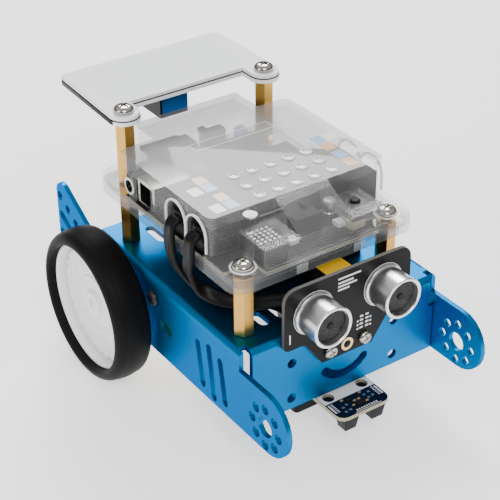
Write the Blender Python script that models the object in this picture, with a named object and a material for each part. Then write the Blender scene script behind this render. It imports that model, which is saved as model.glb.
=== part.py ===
"""Two-wheel educational robot on a folded sheet-metal chassis.

Frame: the front faces -Y, +Z is up, the ground is z = 0 and x = 0 is the chassis' middle plane.
All sizes below are millimetres. MM turns them into Blender's metres when vertices are made.
Y values start from the design origin. CENTRE_SHIFT_Y then moves the whole robot so that the
middle of its bounding box is y = 0.
Every object is one physical piece and one closed body. Touching pieces keep a gap of GAP.
"""
import math

import bmesh
import bpy
from mathutils import Matrix, Vector

MM = 0.001
GAP = 0.3

# Chassis, folded from one sheet
SHEET = 2.0
HALF_WIDTH = 46.0
PLATE_TOP = 54.8
WALL_BOTTOM = 21.4
FRONT_Y = -57.0
PLATE_REAR_Y = 47.5
BEND_RADIUS = 3.0
EAR_CENTRE = (-72.2, 34.1)
EAR_RADIUS = 12.75
EAR_HOLES_CENTRE = (-71.0, 32.0)
EAR_PITCH_RADIUS = 8.0
M4_HOLE_RADIUS = 2.0
FIN_REAR_Y = 81.0
CENTRE_SHIFT_Y = (EAR_RADIUS - EAR_CENTRE[0] - FIN_REAR_Y) / 2
SIDE_SCREW_PLACE = (3.0, 46.8)
FRONT_HOLES_X = 24.0
FRONT_HOLES_Z = (42.3, 26.3)
LIP_REAR_Y = -36.0
LIP_HALF_WIDTH = 24.0

# Wheels and motors
AXLE_Y = 32.0
TYRE_RADIUS = 32.0
AXLE_Z = TYRE_RADIUS
TYRE_INNER_RADIUS = 26.7
TYRE_OUTER_X = 64.0
TYRE_WIDTH = 16.0
HUB_RADIUS = TYRE_INNER_RADIUS - GAP
HUB_WEB_X = TYRE_OUTER_X - 4.2
BOSS_RADIUS = 7.8
SHAFT_RADIUS = 2.7
SHAFT_END_X = TYRE_OUTER_X - 5.2
GEARBOX_HALF_HEIGHT = 11.2
GEARBOX_DEPTH = 18.6
MOTOR_RADIUS = 9.3
MOTOR_FLAT = 7.6

# Hexagonal standoffs and the case they carry
STANDOFF_MIDDLE_X = -4.6
STANDOFF_HALF_PITCH_X = 32.5
STANDOFF_FRONT_Y = -45.0
STANDOFF_REAR_Y = 34.6
STANDOFF_FLATS = 7.0
STANDOFF_CLEARANCE = 4.4
CASE_LEFT = -44.25
CASE_RIGHT = 38.0
CASE_FRONT = -50.8
CASE_REAR = 46.5
CASE_CORNER = 6.0
CASE_BOTTOM = 75.2
CASE_SPLIT = 80.15
CASE_DECK = 82.6
CASE_TOP = 98.0
CASE_SKIN = 1.6
LID_INSET = 1.5
LID_FRONT = -33.0
LEDGE_TOP = 89.5
LEDGE_FRONT = -49.6
LEDGE_LEFT = -31.0
LEDGE_RIGHT = 23.5
RAMP_LEFT = -15.0
RAMP_RIGHT = 8.5
REAR_NOTCH_Y = 30.5
REAR_NOTCH_LEFT_X = -27.0
REAR_NOTCH_RIGHT_X = 22.0
PORT_Y = (-24.2, -10.6)
BOARD_BOTTOM = 77.6
BOARD_THICKNESS = 1.6
BOARD_TOP = BOARD_BOTTOM + BOARD_THICKNESS
SOCKET_BOTTOM = BOARD_TOP + GAP
SOCKET_WIDTH = 13.0
SOCKET_HEIGHT = 12.4
SOCKET_DEPTH = 14.6
SOCKET_WALL = 1.4
POCKET_DEPTH = 11.0
LEFT_FACE = CASE_LEFT + LID_INSET + CASE_SKIN + GAP
RIGHT_FACE = CASE_RIGHT - LID_INSET - CASE_SKIN - GAP
BUTTON_PLACE = (16.2, -40.5)
BUTTON_RADIUS = 1.9
BUTTON_TRAVEL = 0.5
SWITCH_X = 6.0
SWITCH_TRAVEL = 2.0
SWITCH_Z = 86.0

# Display panel
PANEL_BOTTOM = 107.8
PANEL_LEFT = -42.0
PANEL_RIGHT = 34.0
PANEL_FRONT = 40.5
PANEL_REAR = 78.0
PANEL_EAR_RADIUS = 6.4
DIFFUSER_THICKNESS = 1.5
PANEL_SOCKET_X = -12.9
PANEL_SOCKET_Y = 48.5

# Distance sensor
SENSOR_FACE_Y = -58.9
SENSOR_Z = 62.8
SENSOR_HALF_PITCH = 16.0
SENSOR_RADIUS = 8.1
SENSOR_LENGTH = 12.0
SENSOR_SCREW_X = 8.0
SENSOR_SCREW_Z = 42.3
SENSOR_SOCKET_Z = 58.6
SENSOR_SOCKET_REACH = 12.0
SMALL_SOCKET_X = -6.6
SMALL_SOCKET_DEPTH = 13.2

# Line sensor and caster
LINE_TOP = 20.0
LINE_FRONT = -72.0
LINE_REAR = -20.0
LINE_HALF_WIDTH = 12.0
LINE_SOCKET_Y = -34.0
DETECTOR_X = 6.3
DETECTOR_Y = -68.2
DETECTOR_BOTTOM = 12.2
CASTER_Y = -32.0
CASTER_LO = (-13.0, -44.9, 5.6)
CASTER_HI = (13.0, -20.5, LINE_TOP - BOARD_THICKNESS - GAP)
CASTER_BOSS_RADIUS = 2.9
CASTER_SCREW_X = 9.0
CASTER_SCREW_Y = -41.0
BALL_RADIUS = 6.0
CAVITY_RADIUS = 6.3

# Battery pack
BATTERY_LO = (-24.0, -28.0, PLATE_TOP + GAP)
BATTERY_HI = (32.0, 27.0, 71.0)

# Cables
CABLE_WIDTH = 6.0
CABLE_THICKNESS = 2.4
PLUG_CLEARANCE = 0.35
PLUG_REACH = 10.6
BOOT_LENGTH = 1.5

BLUE = ((0.0, 0.42, 0.72), 0.35, 0.9)
BRASS = ((0.83, 0.62, 0.30), 0.25, 1.0)
STEEL = ((0.72, 0.72, 0.74), 0.25, 1.0)
BLACK = ((0.02, 0.02, 0.022), 0.5, 0.0)
RUBBER = ((0.018, 0.018, 0.018), 0.75, 0.0)
WHITE = ((0.9, 0.9, 0.92), 0.4, 0.0)
CLEAR = ((0.86, 0.88, 0.88), 0.15, 0.0)
YELLOW = ((0.85, 0.62, 0.02), 0.45, 0.0)
BOARD = ((0.015, 0.02, 0.035), 0.45, 0.0)
ALUMINIUM = ((0.8, 0.8, 0.8), 0.3, 1.0)


# ---------------------------------------------------------------- shape tools

def to_world(axis, u, v, w):
    """A profile point (u, v) at height w along the axis, as x, y, z."""
    if axis == "X":
        return (w, u, v)
    if axis == "Y":
        return (u, w, v)
    return (u, v, w)


def prism(bm, outline, axis, start, end):
    """Extrude a closed outline along an axis. X takes (y, z), Y takes (x, z), Z takes (x, y)."""
    rings = []
    for w in (start, end):
        rings.append([bm.verts.new([c * MM for c in to_world(axis, u, v, w)]) for u, v in outline])
    made = [bm.faces.new(rings[0]), bm.faces.new(rings[1])]
    count = len(outline)
    for i in range(count):
        j = (i + 1) % count
        made.append(bm.faces.new((rings[0][i], rings[0][j], rings[1][j], rings[1][i])))
    bmesh.ops.recalc_face_normals(bm, faces=made)


def box(bm, lo, hi):
    outline = [(lo[0], lo[1]), (hi[0], lo[1]), (hi[0], hi[1]), (lo[0], hi[1])]
    prism(bm, outline, "Z", lo[2], hi[2])


def circle(centre, radius, segments, turn=0.0):
    step = 2 * math.pi / segments
    return [(centre[0] + radius * math.cos(turn + i * step), centre[1] + radius * math.sin(turn + i * step))
            for i in range(segments)]


def arc(centre, radius, start_deg, end_deg, steps):
    points = []
    for i in range(steps + 1):
        angle = math.radians(start_deg + (end_deg - start_deg) * i / steps)
        points.append((centre[0] + radius * math.cos(angle), centre[1] + radius * math.sin(angle)))
    return points


def rounded_rectangle(lo, hi, radius, steps=4):
    corners = (((hi[0] - radius, lo[1] + radius), -90), ((hi[0] - radius, hi[1] - radius), 0),
               ((lo[0] + radius, hi[1] - radius), 90), ((lo[0] + radius, lo[1] + radius), 180))
    points = []
    for centre, start in corners:
        points += arc(centre, radius, start, start + 90, steps)
    return points


def slot_outline(start, end, radius, steps=6):
    """A slot with round ends between two centres."""
    angle = math.degrees(math.atan2(end[1] - start[1], end[0] - start[0]))
    points = arc(start, radius, angle + 90, angle + 270, steps)
    return points + arc(end, radius, angle - 90, angle + 90, steps)


def turned(bm, profile, axis, centre, segments):
    """Turn a profile of (radius, height) points about an axis through centre. Radius 0 closes on the axis."""
    loops = []
    for radius, height in profile:
        if radius == 0:
            point = to_world(axis, centre[0], centre[1], height)
            loops.append([bm.verts.new([c * MM for c in point])])
            continue
        ring = circle(centre, radius, segments)
        loops.append([bm.verts.new([c * MM for c in to_world(axis, u, v, height)]) for u, v in ring])
    closed = profile[0][0] > 0 and profile[-1][0] > 0
    pairs = list(zip(loops, loops[1:] + ([loops[0]] if closed else [])))
    if not closed:
        pairs = list(zip(loops, loops[1:]))
    made = []
    for low, high in pairs:
        for i in range(segments):
            j = (i + 1) % segments
            if len(low) == 1 and len(high) == 1:
                continue
            if len(low) == 1:
                made.append(bm.faces.new((low[0], high[j], high[i])))
            elif len(high) == 1:
                made.append(bm.faces.new((low[i], low[j], high[0])))
            else:
                made.append(bm.faces.new((low[i], low[j], high[j], high[i])))
    bmesh.ops.recalc_face_normals(bm, faces=made)


def material(name, look):
    colour, roughness, metallic = look
    mat = bpy.data.materials.new(name)
    mat.use_nodes = True
    shader = mat.node_tree.nodes["Principled BSDF"]
    shader.inputs["Base Color"].default_value = (*colour, 1)
    shader.inputs["Roughness"].default_value = roughness
    shader.inputs["Metallic"].default_value = metallic
    return mat


def finish(bm, name, look, pivot=(0, 0, 0), smooth_deg=35):
    """Make one object whose origin is its pivot, in millimetres."""
    offset = Vector([c * MM for c in pivot])
    bmesh.ops.translate(bm, verts=bm.verts, vec=-offset)
    mesh = bpy.data.meshes.new(name)
    bm.to_mesh(mesh)
    bm.free()
    mesh.shade_smooth()
    mesh.set_sharp_from_angle(angle=math.radians(smooth_deg))
    mesh.materials.append(material(name, look))
    obj = bpy.data.objects.new(name, mesh)
    obj.location = offset + Vector((0, CENTRE_SHIFT_Y * MM, 0))
    bpy.context.collection.objects.link(obj)
    return obj


def tool(bm, name, pivot_of):
    """A hidden body for a Boolean, in the same place as the object that it works on."""
    obj = finish(bm, name, BLACK)
    obj.data.materials.clear()
    obj.hide_render = True
    obj.display_type = "WIRE"
    obj.parent = pivot_of
    obj.matrix_parent_inverse = Matrix.Translation(-pivot_of.location)
    return obj


def boolean(obj, bm, operation):
    number = len(obj.modifiers)
    modifier = obj.modifiers.new(f"{operation.lower()}_{number}", "BOOLEAN")
    modifier.object = tool(bm, f"{obj.name}_tool_{number}", obj)
    modifier.operation = operation
    modifier.solver = "EXACT"


def cut(obj, bm):
    boolean(obj, bm, "DIFFERENCE")


def add(obj, bm):
    boolean(obj, bm, "UNION")


# ---------------------------------------------------------------- chassis

def side_outline():
    """Left side plate as (y, z): round ear in front, raised fin behind."""
    points = arc(EAR_CENTRE, EAR_RADIUS, 270, 90, 12)
    points += [(-55.0, EAR_CENTRE[1] + EAR_RADIUS), (-55.0, 48.0), (48.5, 48.0)]
    points += arc((76.0, 59.2), 4.4, 123, 45, 3) + arc((77.2, 58.8), 3.8, 30, 0, 1)
    points += [(FIN_REAR_Y, 34.0)] + arc((FIN_REAR_Y - 8, WALL_BOTTOM + 8), 8, 0, -90, 4)
    return points


def channel_outline():
    """Top plate with both bent edges and legs, as (x, z)."""
    outer = HALF_WIDTH
    inner = HALF_WIDTH - SHEET
    top = PLATE_TOP
    under = PLATE_TOP - SHEET
    small = BEND_RADIUS - SHEET
    right_out = arc((outer - BEND_RADIUS, top - BEND_RADIUS), BEND_RADIUS, 0, 90, 4)
    left_out = arc((-outer + BEND_RADIUS, top - BEND_RADIUS), BEND_RADIUS, 90, 180, 4)
    left_in = arc((-inner + small, under - small), small, 180, 90, 3)
    right_in = arc((inner - small, under - small), small, 90, 0, 3)
    return ([(outer, 40.0)] + right_out + left_out + [(-outer, 40.0), (-inner, 40.0)]
            + left_in + right_in + [(inner, 40.0)])


def front_outline():
    """Front wall bent down from the top plate, and its lower lip, as (y, z)."""
    top = PLATE_TOP
    under = PLATE_TOP - SHEET
    small = BEND_RADIUS - SHEET
    outside = arc((FRONT_Y + BEND_RADIUS, top - BEND_RADIUS), BEND_RADIUS, 90, 180, 4)
    inside = arc((FRONT_Y + SHEET + small, under - small), small, 180, 90, 3)
    return ([(FRONT_Y + 8, top)] + outside + [(FRONT_Y, WALL_BOTTOM), (FRONT_Y + SHEET, WALL_BOTTOM)]
            + inside + [(FRONT_Y + 8, under)])


def cut_front_wall(obj):
    bm = bmesh.new()
    for z in FRONT_HOLES_Z:
        for x in (-FRONT_HOLES_X, FRONT_HOLES_X):
            prism(bm, circle((x, z), M4_HOLE_RADIUS, 16), "Y", FRONT_Y - 2, FRONT_Y + 5)
    for x in (-SENSOR_SCREW_X, 0, SENSOR_SCREW_X):
        prism(bm, circle((x, SENSOR_SCREW_Z), 1.6, 12), "Y", FRONT_Y - 2, FRONT_Y + 5)
    centre = (0.5, 40.0)
    low, high, start, end = 10.4, 14.1, 222, 318
    tip, middle = (high - low) / 2, (high + low) / 2
    (left,), (right,) = (arc(centre, middle, angle, angle, 1)[:1] for angle in (start, end))
    smile = arc(centre, low, start, end, 8) + arc(right, tip, end - 180, end - 360, 6)[1:-1]
    smile += arc(centre, high, end, start, 8) + arc(left, tip, start, start - 180, 6)[1:-1]
    prism(bm, smile, "Y", FRONT_Y - 2, FRONT_Y + 5)
    for side in (-1, 1):
        relief = sorted((side * 41.5, side * (HALF_WIDTH - SHEET)))
        box(bm, (relief[0], FRONT_Y - 2, 41.5), (relief[1], FRONT_Y + 5, PLATE_TOP + 2))
    cut(obj, bm)


def cut_side_plates(obj):
    """Holes that run straight through both side plates."""
    reach = HALF_WIDTH + 3
    bm = bmesh.new()
    for y, z in circle(EAR_HOLES_CENTRE, EAR_PITCH_RADIUS, 8):
        prism(bm, circle((y, z), M4_HOLE_RADIUS, 12), "X", -reach, reach)
    prism(bm, circle(EAR_HOLES_CENTRE, 4.0, 20), "X", -reach, reach)
    for y, z in ((78.0, 56.8), (71.9, 52.8), (65.6, 49.0), (78.0, 39.0)):
        prism(bm, circle((y, z), M4_HOLE_RADIUS, 12), "X", -reach, reach)
    prism(bm, slot_outline((69.5, 42.6), (77.6, 47.6), M4_HOLE_RADIUS), "X", -reach, reach)
    cut(obj, bm)
    for side in (-1, 1):
        bm = bmesh.new()
        span = sorted((side * (HALF_WIDTH - SHEET - 1.5), side * reach))
        prism(bm, circle((AXLE_Y, AXLE_Z), 5.0, 20), "X", *span)
        prism(bm, slot_outline((-7.0, 36.2), (-2.4, 37.4), M4_HOLE_RADIUS), "X", *span)
        prism(bm, circle(SIDE_SCREW_PLACE, M4_HOLE_RADIUS, 12), "X", *span)
        for y, length in ((-29.0, 17.0), (-36.5, 21.0), (-44.0, 17.0)):
            low = (y - 1.5, 35.0 - length / 2)
            high = (y + 1.5, 35.0 + length / 2)
            prism(bm, slot_outline(low, high, 1.6), "X", *span)
        cut(obj, bm)


def cut_top_plate(obj):
    bm = bmesh.new()
    low, high = PLATE_TOP - SHEET - 1.5, PLATE_TOP + 3
    for x, y in standoff_places():
        prism(bm, circle((x, y), 2.3, 16), "Z", low, high)
    for start, end in (((-27.5, 27.0), (-27.5, 36.0)), ((-27.5, -44.0), (-27.5, -38.5)),
                       ((20.0, -44.0), (20.0, -38.5))):
        prism(bm, slot_outline(start, end, M4_HOLE_RADIUS), "Z", low, high)
    prism(bm, rounded_rectangle((-21.5, -46.5), (-9.5, -33.5), 3.0, 3), "Z", low, high)
    cut(obj, bm)
    bm = bmesh.new()
    for x in (-CASTER_SCREW_X, CASTER_SCREW_X):
        prism(bm, circle((x, CASTER_SCREW_Y), 1.8, 12), "Z", WALL_BOTTOM - 1, WALL_BOTTOM + SHEET + 1)
    cut(obj, bm)


def make_chassis():
    bm = bmesh.new()
    prism(bm, channel_outline(), "Y", FRONT_Y + SHEET, PLATE_REAR_Y)
    obj = finish(bm, "chassis", BLUE)
    for side in (-1, 1):
        bm = bmesh.new()
        prism(bm, side_outline(), "X", *sorted((side * HALF_WIDTH, side * (HALF_WIDTH - SHEET))))
        add(obj, bm)
    bm = bmesh.new()
    prism(bm, front_outline(), "X", -HALF_WIDTH + SHEET + GAP, HALF_WIDTH - SHEET - GAP)
    add(obj, bm)
    bm = bmesh.new()
    lip = rounded_rectangle((-LIP_HALF_WIDTH, FRONT_Y + 0.5), (LIP_HALF_WIDTH, LIP_REAR_Y), 2.0, 2)
    prism(bm, lip, "Z", WALL_BOTTOM, WALL_BOTTOM + SHEET)
    add(obj, bm)
    cut_front_wall(obj)
    cut_side_plates(obj)
    cut_top_plate(obj)


# ---------------------------------------------------------------- standoffs and screws

def standoff_places():
    return [(STANDOFF_MIDDLE_X + side * STANDOFF_HALF_PITCH_X, y)
            for y in (STANDOFF_FRONT_Y, STANDOFF_REAR_Y) for side in (-1, 1)]


def make_standoff(name, place, low, high, stud_to):
    """Hexagonal pillar with a blind threaded bore on top and a stud below."""
    bm = bmesh.new()
    across_corners = STANDOFF_FLATS / math.cos(math.pi / 6) / 2
    prism(bm, circle(place, across_corners, 6), "Z", low, high)
    obj = finish(bm, name, BRASS)
    bm = bmesh.new()
    prism(bm, circle(place, 1.95, 12), "Z", stud_to, low + 1)
    add(obj, bm)
    bm = bmesh.new()
    prism(bm, circle(place, 2.25, 12), "Z", high - 7, high + 1)
    cut(obj, bm)


def make_standoffs():
    names = ("front_left", "front_right", "rear_left", "rear_right")
    for name, place in zip(names, standoff_places()):
        low, high = PLATE_TOP + GAP, CASE_SPLIT - GAP
        make_standoff(f"lower_standoff_{name}", place, low, high, PLATE_TOP - SHEET - 2.5)
        if place[1] == STANDOFF_REAR_Y:
            low, high = CASE_DECK + GAP, PANEL_BOTTOM - GAP
            make_standoff(f"upper_standoff_{name}", place, low, high, CASE_SPLIT - 5.5)


def make_screw(name, place, axis, seat, direction, head_radius, shank_radius, length):
    """Pan-head screw. seat is where the head's flat underside lies, direction points out of the head."""
    height = head_radius * 0.6
    bm = bmesh.new()
    profile = [(0, seat - direction * length), (shank_radius, seat - direction * length),
               (shank_radius, seat), (head_radius, seat),
               (head_radius, seat + direction * height * 0.35),
               (head_radius * 0.82, seat + direction * height * 0.8),
               (head_radius * 0.45, seat + direction * height), (0, seat + direction * height)]
    turned(bm, profile, axis, place, 12)
    obj = finish(bm, name, STEEL)
    bm = bmesh.new()
    top = seat + direction * height
    span = sorted((top - direction * height * 0.45, top + direction))
    arm, half = head_radius * 0.55, head_radius * 0.13
    u, v = place
    cross = [(u + half, v + half), (u + half, v + arm), (u - half, v + arm), (u - half, v + half),
             (u - arm, v + half), (u - arm, v - half), (u - half, v - half), (u - half, v - arm),
             (u + half, v - arm), (u + half, v - half), (u + arm, v - half), (u + arm, v + half)]
    prism(bm, cross, axis, *span)
    cut(obj, bm)


def make_screws():
    places = standoff_places()
    for name, place in zip(("left", "right"), places[:2]):
        make_screw(f"case_screw_{name}", place, "Z", CASE_DECK + GAP, 1, 4.0, 1.8, 8.0)
    seat = PANEL_BOTTOM + BOARD_THICKNESS + DIFFUSER_THICKNESS + 2 * GAP
    for name, place in zip(("left", "right"), places[2:]):
        make_screw(f"panel_screw_{name}", place, "Z", seat, 1, 4.0, 1.8, 8.5)
    for name, side in (("left", -1), ("right", 1)):
        place = (side * SENSOR_SCREW_X, SENSOR_SCREW_Z)
        make_screw(f"sensor_screw_{name}", place, "Y", SENSOR_FACE_Y - GAP, -1, 2.8, 1.2, 7.0)
        place = (side * CASTER_SCREW_X, CASTER_SCREW_Y)
        make_screw(f"caster_screw_{name}", place, "Z", WALL_BOTTOM + SHEET + GAP, 1, 2.8, 1.4, 8.0)
        seat = side * (HALF_WIDTH + GAP)
        make_screw(f"side_screw_{name}", SIDE_SCREW_PLACE, "X", seat, side, 3.2, 1.7, 6.0)


# ---------------------------------------------------------------- case

def lid_outline(inset):
    """Raised part of the lid as (x, y), with the two rear corners stepped in round the standoffs."""
    left, right = CASE_LEFT + LID_INSET + inset, CASE_RIGHT - LID_INSET - inset
    front, rear = LID_FRONT + inset, CASE_REAR - inset
    notch_y = REAR_NOTCH_Y - inset
    inner_left, inner_right = REAR_NOTCH_LEFT_X + inset, REAR_NOTCH_RIGHT_X - inset
    small = 3.0 - inset
    points = arc((left + small, front + small), small, 180, 270, 3)
    points += arc((right - small, front + small), small, 270, 360, 3)
    points += arc((right - small, notch_y - small), small, 0, 90, 3)
    points += [(inner_right, notch_y), (inner_right, rear), (inner_left, rear), (inner_left, notch_y)]
    points += arc((left + small, notch_y - small), small, 90, 180, 3)
    return points


def ledge_outline(inset):
    return [(LEDGE_LEFT + inset, LID_FRONT + 2.5), (LEDGE_LEFT + inset, LEDGE_FRONT + inset),
            (LEDGE_RIGHT - inset, LEDGE_FRONT + inset), (LEDGE_RIGHT - inset, LID_FRONT + 2.5)]


def ramp_outline(inset):
    """Sloping front of the lid's middle, as (y, z)."""
    return [(LID_FRONT + 3.0, CASE_TOP - inset), (LID_FRONT + inset * 0.6, CASE_TOP - inset),
            (LEDGE_FRONT + inset, LEDGE_TOP - inset), (LEDGE_FRONT + inset, LEDGE_TOP - 3.5),
            (LID_FRONT + 3.0, LEDGE_TOP - 3.5)]


def port_arch(y, half_width, low, high):
    """Round-topped opening in a side wall, as (y, z)."""
    return [(y - half_width, low), (y + half_width, low)] + arc((y, high - half_width), half_width, 0, 180, 6)


def cut_case_cover(obj):
    bm = bmesh.new()
    prism(bm, lid_outline(CASE_SKIN), "Z", CASE_SPLIT - 1, CASE_TOP - CASE_SKIN)
    cut(obj, bm)
    bm = bmesh.new()
    prism(bm, ledge_outline(CASE_SKIN), "Z", CASE_SPLIT - 1, LEDGE_TOP - CASE_SKIN)
    cut(obj, bm)
    bm = bmesh.new()
    prism(bm, ramp_outline(CASE_SKIN), "X", RAMP_LEFT + CASE_SKIN, RAMP_RIGHT - CASE_SKIN)
    cut(obj, bm)
    bm = bmesh.new()
    for y in PORT_Y:
        prism(bm, port_arch(y, 6.2, CASE_SPLIT - 0.5, 95.0), "X", CASE_LEFT - 1, CASE_LEFT + 4.2)
        prism(bm, port_arch(y, 6.2, CASE_SPLIT - 0.5, 95.0), "X", CASE_RIGHT - 4.2, CASE_RIGHT + 1)
    prism(bm, port_arch(25.8, 4.2, CASE_SPLIT - 0.5, 91.0), "X", CASE_LEFT - 1, CASE_LEFT + 4.2)
    usb = [(7.8, CASE_SPLIT - 0.5), (20.4, CASE_SPLIT - 0.5), (20.4, 91.2), (7.8, 91.2)]
    prism(bm, usb, "X", CASE_LEFT - 1, CASE_LEFT + 4.2)
    cut(obj, bm)
    bm = bmesh.new()
    for x, y in standoff_places():
        prism(bm, circle((x, y), 2.3, 16), "Z", CASE_SPLIT - 1, CASE_DECK + 1)
    prism(bm, circle(BUTTON_PLACE, BUTTON_RADIUS + 0.4, 16), "Z", LEDGE_TOP - 3, LEDGE_TOP + 1)
    switch = rounded_rectangle((SWITCH_X - 3.4, SWITCH_Z - 1.6), (SWITCH_X + 3.4, SWITCH_Z + 1.6), 0.6, 2)
    prism(bm, switch, "Y", CASE_REAR - 3, CASE_REAR + 1)
    cut(obj, bm)


def make_case():
    plan = rounded_rectangle((CASE_LEFT, CASE_FRONT), (CASE_RIGHT, CASE_REAR), CASE_CORNER)
    bm = bmesh.new()
    prism(bm, plan, "Z", CASE_BOTTOM, CASE_SPLIT - GAP)
    base = finish(bm, "case_base", CLEAR)
    bm = bmesh.new()
    inner = rounded_rectangle((CASE_LEFT + CASE_SKIN, CASE_FRONT + CASE_SKIN),
                              (CASE_RIGHT - CASE_SKIN, CASE_REAR - CASE_SKIN), CASE_CORNER - CASE_SKIN)
    prism(bm, inner, "Z", CASE_BOTTOM + CASE_SKIN, CASE_SPLIT + 1)
    cut(base, bm)
    bm = bmesh.new()
    for x, y in standoff_places():
        prism(bm, circle((x, y), STANDOFF_CLEARANCE, 16), "Z", CASE_BOTTOM - 1, CASE_SPLIT + 1)
    cut(base, bm)
    bm = bmesh.new()
    prism(bm, plan, "Z", CASE_SPLIT, CASE_DECK)
    cover = finish(bm, "case_cover", CLEAR)
    bm = bmesh.new()
    prism(bm, lid_outline(0), "Z", CASE_SPLIT + 1, CASE_TOP)
    add(cover, bm)
    bm = bmesh.new()
    prism(bm, ledge_outline(0), "Z", CASE_SPLIT + 1, LEDGE_TOP)
    add(cover, bm)
    bm = bmesh.new()
    prism(bm, ramp_outline(0), "X", RAMP_LEFT, RAMP_RIGHT)
    add(cover, bm)
    cut_case_cover(cover)


# ---------------------------------------------------------------- electronics in the case

def board_outline():
    left, right, front, rear = -42.0, 35.0, -48.0, 44.0
    notch_x = 13.0
    notch_front, notch_rear = -39.5, 28.5
    return [(left, notch_front), (left + notch_x, notch_front), (left + notch_x, front),
            (right - notch_x, front), (right - notch_x, notch_front), (right, notch_front),
            (right, notch_rear), (right - notch_x, notch_rear), (right - notch_x, rear),
            (left + notch_x, rear), (left + notch_x, notch_rear), (left, notch_rear)]


def make_main_board():
    """Circuit board with its soldered chip, button base and switch base."""
    bm = bmesh.new()
    prism(bm, board_outline(), "Z", BOARD_BOTTOM, BOARD_TOP)
    obj = finish(bm, "main_board", BOARD)
    bm = bmesh.new()
    box(bm, (-10, -16, BOARD_TOP - 0.5), (2, -4, BOARD_TOP + 1.2))
    x, y = BUTTON_PLACE
    box(bm, (x - 3, y - 3, BOARD_TOP - 0.5), (x + 3, y + 3, BOARD_TOP + 3.5))
    box(bm, (SWITCH_X - 5, 37.5, BOARD_TOP - 0.5), (SWITCH_X + 5, 42.0, 88.5))
    add(obj, bm)
    bm = bmesh.new()
    box(bm, (SWITCH_X - 3.4, 39.0, SWITCH_Z - 1.4), (SWITCH_X + 3.4, 43.0, SWITCH_Z + 1.4))
    cut(obj, bm)
    bm = bmesh.new()
    prism(bm, circle(BUTTON_PLACE, BUTTON_RADIUS + 0.3, 16), "Z", BOARD_TOP + 1.5, BOARD_TOP + 6)
    cut(obj, bm)


def make_controls():
    bm = bmesh.new()
    low = BOARD_TOP + 1.5 + BUTTON_TRAVEL + 0.3
    turned(bm, [(0, low), (BUTTON_RADIUS, low), (BUTTON_RADIUS, LEDGE_TOP + 0.6),
                (BUTTON_RADIUS - 0.4, LEDGE_TOP + 0.9), (0, LEDGE_TOP + 0.9)], "Z", BUTTON_PLACE, 16)
    finish(bm, "board_button", BLACK, (*BUTTON_PLACE, low))
    bm = bmesh.new()
    middle = SWITCH_X - SWITCH_TRAVEL / 2
    lever = rounded_rectangle((middle - 1.6, SWITCH_Z - 1.0), (middle + 1.6, SWITCH_Z + 1.0), 0.4, 2)
    prism(bm, lever, "Y", 39.4, CASE_REAR + 0.6)
    finish(bm, "power_switch_lever", BLACK, (middle, 39.4, SWITCH_Z))


def socket_body(name, lo, hi, mouth, look=BLACK):
    """Modular cable socket. mouth is the side its opening faces: -X, +X, -Y or +Y."""
    bm = bmesh.new()
    box(bm, lo, hi)
    obj = finish(bm, name, look)
    axis = 0 if mouth[1] == "X" else 1
    sign = 1 if mouth[0] == "+" else -1
    pocket_lo = [lo[i] + SOCKET_WALL for i in range(3)]
    pocket_hi = [hi[i] - SOCKET_WALL for i in range(3)]
    if sign > 0:
        pocket_lo[axis], pocket_hi[axis] = hi[axis] - POCKET_DEPTH, hi[axis] + 1
    else:
        pocket_lo[axis], pocket_hi[axis] = lo[axis] - 1, lo[axis] + POCKET_DEPTH
    bm = bmesh.new()
    box(bm, pocket_lo, pocket_hi)
    cut(obj, bm)


def make_board_parts():
    for name, y in zip(("front", "rear"), PORT_Y):
        low, high = y - SOCKET_WIDTH / 2, y + SOCKET_WIDTH / 2
        top = SOCKET_BOTTOM + SOCKET_HEIGHT
        socket_body(f"cable_socket_left_{name}", (LEFT_FACE, low, SOCKET_BOTTOM),
                    (LEFT_FACE + SOCKET_DEPTH, high, top), "-X")
        socket_body(f"cable_socket_right_{name}", (RIGHT_FACE - SOCKET_DEPTH, low, SOCKET_BOTTOM),
                    (RIGHT_FACE, high, top), "+X")
    socket_body("usb_socket", (LEFT_FACE, 8.1, SOCKET_BOTTOM),
                (LEFT_FACE + 16, 20.1, SOCKET_BOTTOM + 11), "-X", STEEL)
    bm = bmesh.new()
    box(bm, (LEFT_FACE, 22.0, SOCKET_BOTTOM), (LEFT_FACE + 13, 28.4, SOCKET_BOTTOM + 9))
    obj = finish(bm, "power_jack", BLACK)
    bm = bmesh.new()
    turned(bm, [(2.5, LEFT_FACE - 1), (2.5, LEFT_FACE + 10), (1.0, LEFT_FACE + 10), (1.0, LEFT_FACE - 1)],
           "X", (25.2, SOCKET_BOTTOM + 5), 16)
    cut(obj, bm)
    bm = bmesh.new()
    box(bm, (-24.5, 32.5, SOCKET_BOTTOM), (-6, 41.0, 89.5))
    obj = finish(bm, "wireless_module", BOARD)
    bm = bmesh.new()
    box(bm, (-24.5, 30.0, 86.0), (-6, 33.0, 88.0))
    add(obj, bm)
    bm = bmesh.new()
    top = SOCKET_BOTTOM + 7.6
    turned(bm, [(0, SOCKET_BOTTOM), (6.0, SOCKET_BOTTOM), (6.0, top - 0.6), (5.2, top), (1.2, top),
                (1.2, top - 2.6), (0, top - 2.6)], "Z", (-21.5, -40.5), 24)
    finish(bm, "buzzer", BLACK)


def make_battery():
    bm = bmesh.new()
    plan = rounded_rectangle(BATTERY_LO[:2], BATTERY_HI[:2], 3.0, 3)
    prism(bm, plan, "Z", BATTERY_LO[2], BATTERY_HI[2])
    obj = finish(bm, "battery_pack", BLACK)
    bm = bmesh.new()
    pitch = (BATTERY_HI[1] - BATTERY_LO[1]) / 4
    for i in range(1, 4):
        y = BATTERY_LO[1] + i * pitch
        groove = [(y - 2.2, BATTERY_HI[2] + 1), (y, BATTERY_HI[2] - 2.2), (y + 2.2, BATTERY_HI[2] + 1)]
        prism(bm, groove, "X", BATTERY_LO[0] - 1, BATTERY_HI[0] + 1)
    cut(obj, bm)


# ---------------------------------------------------------------- display panel

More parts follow.
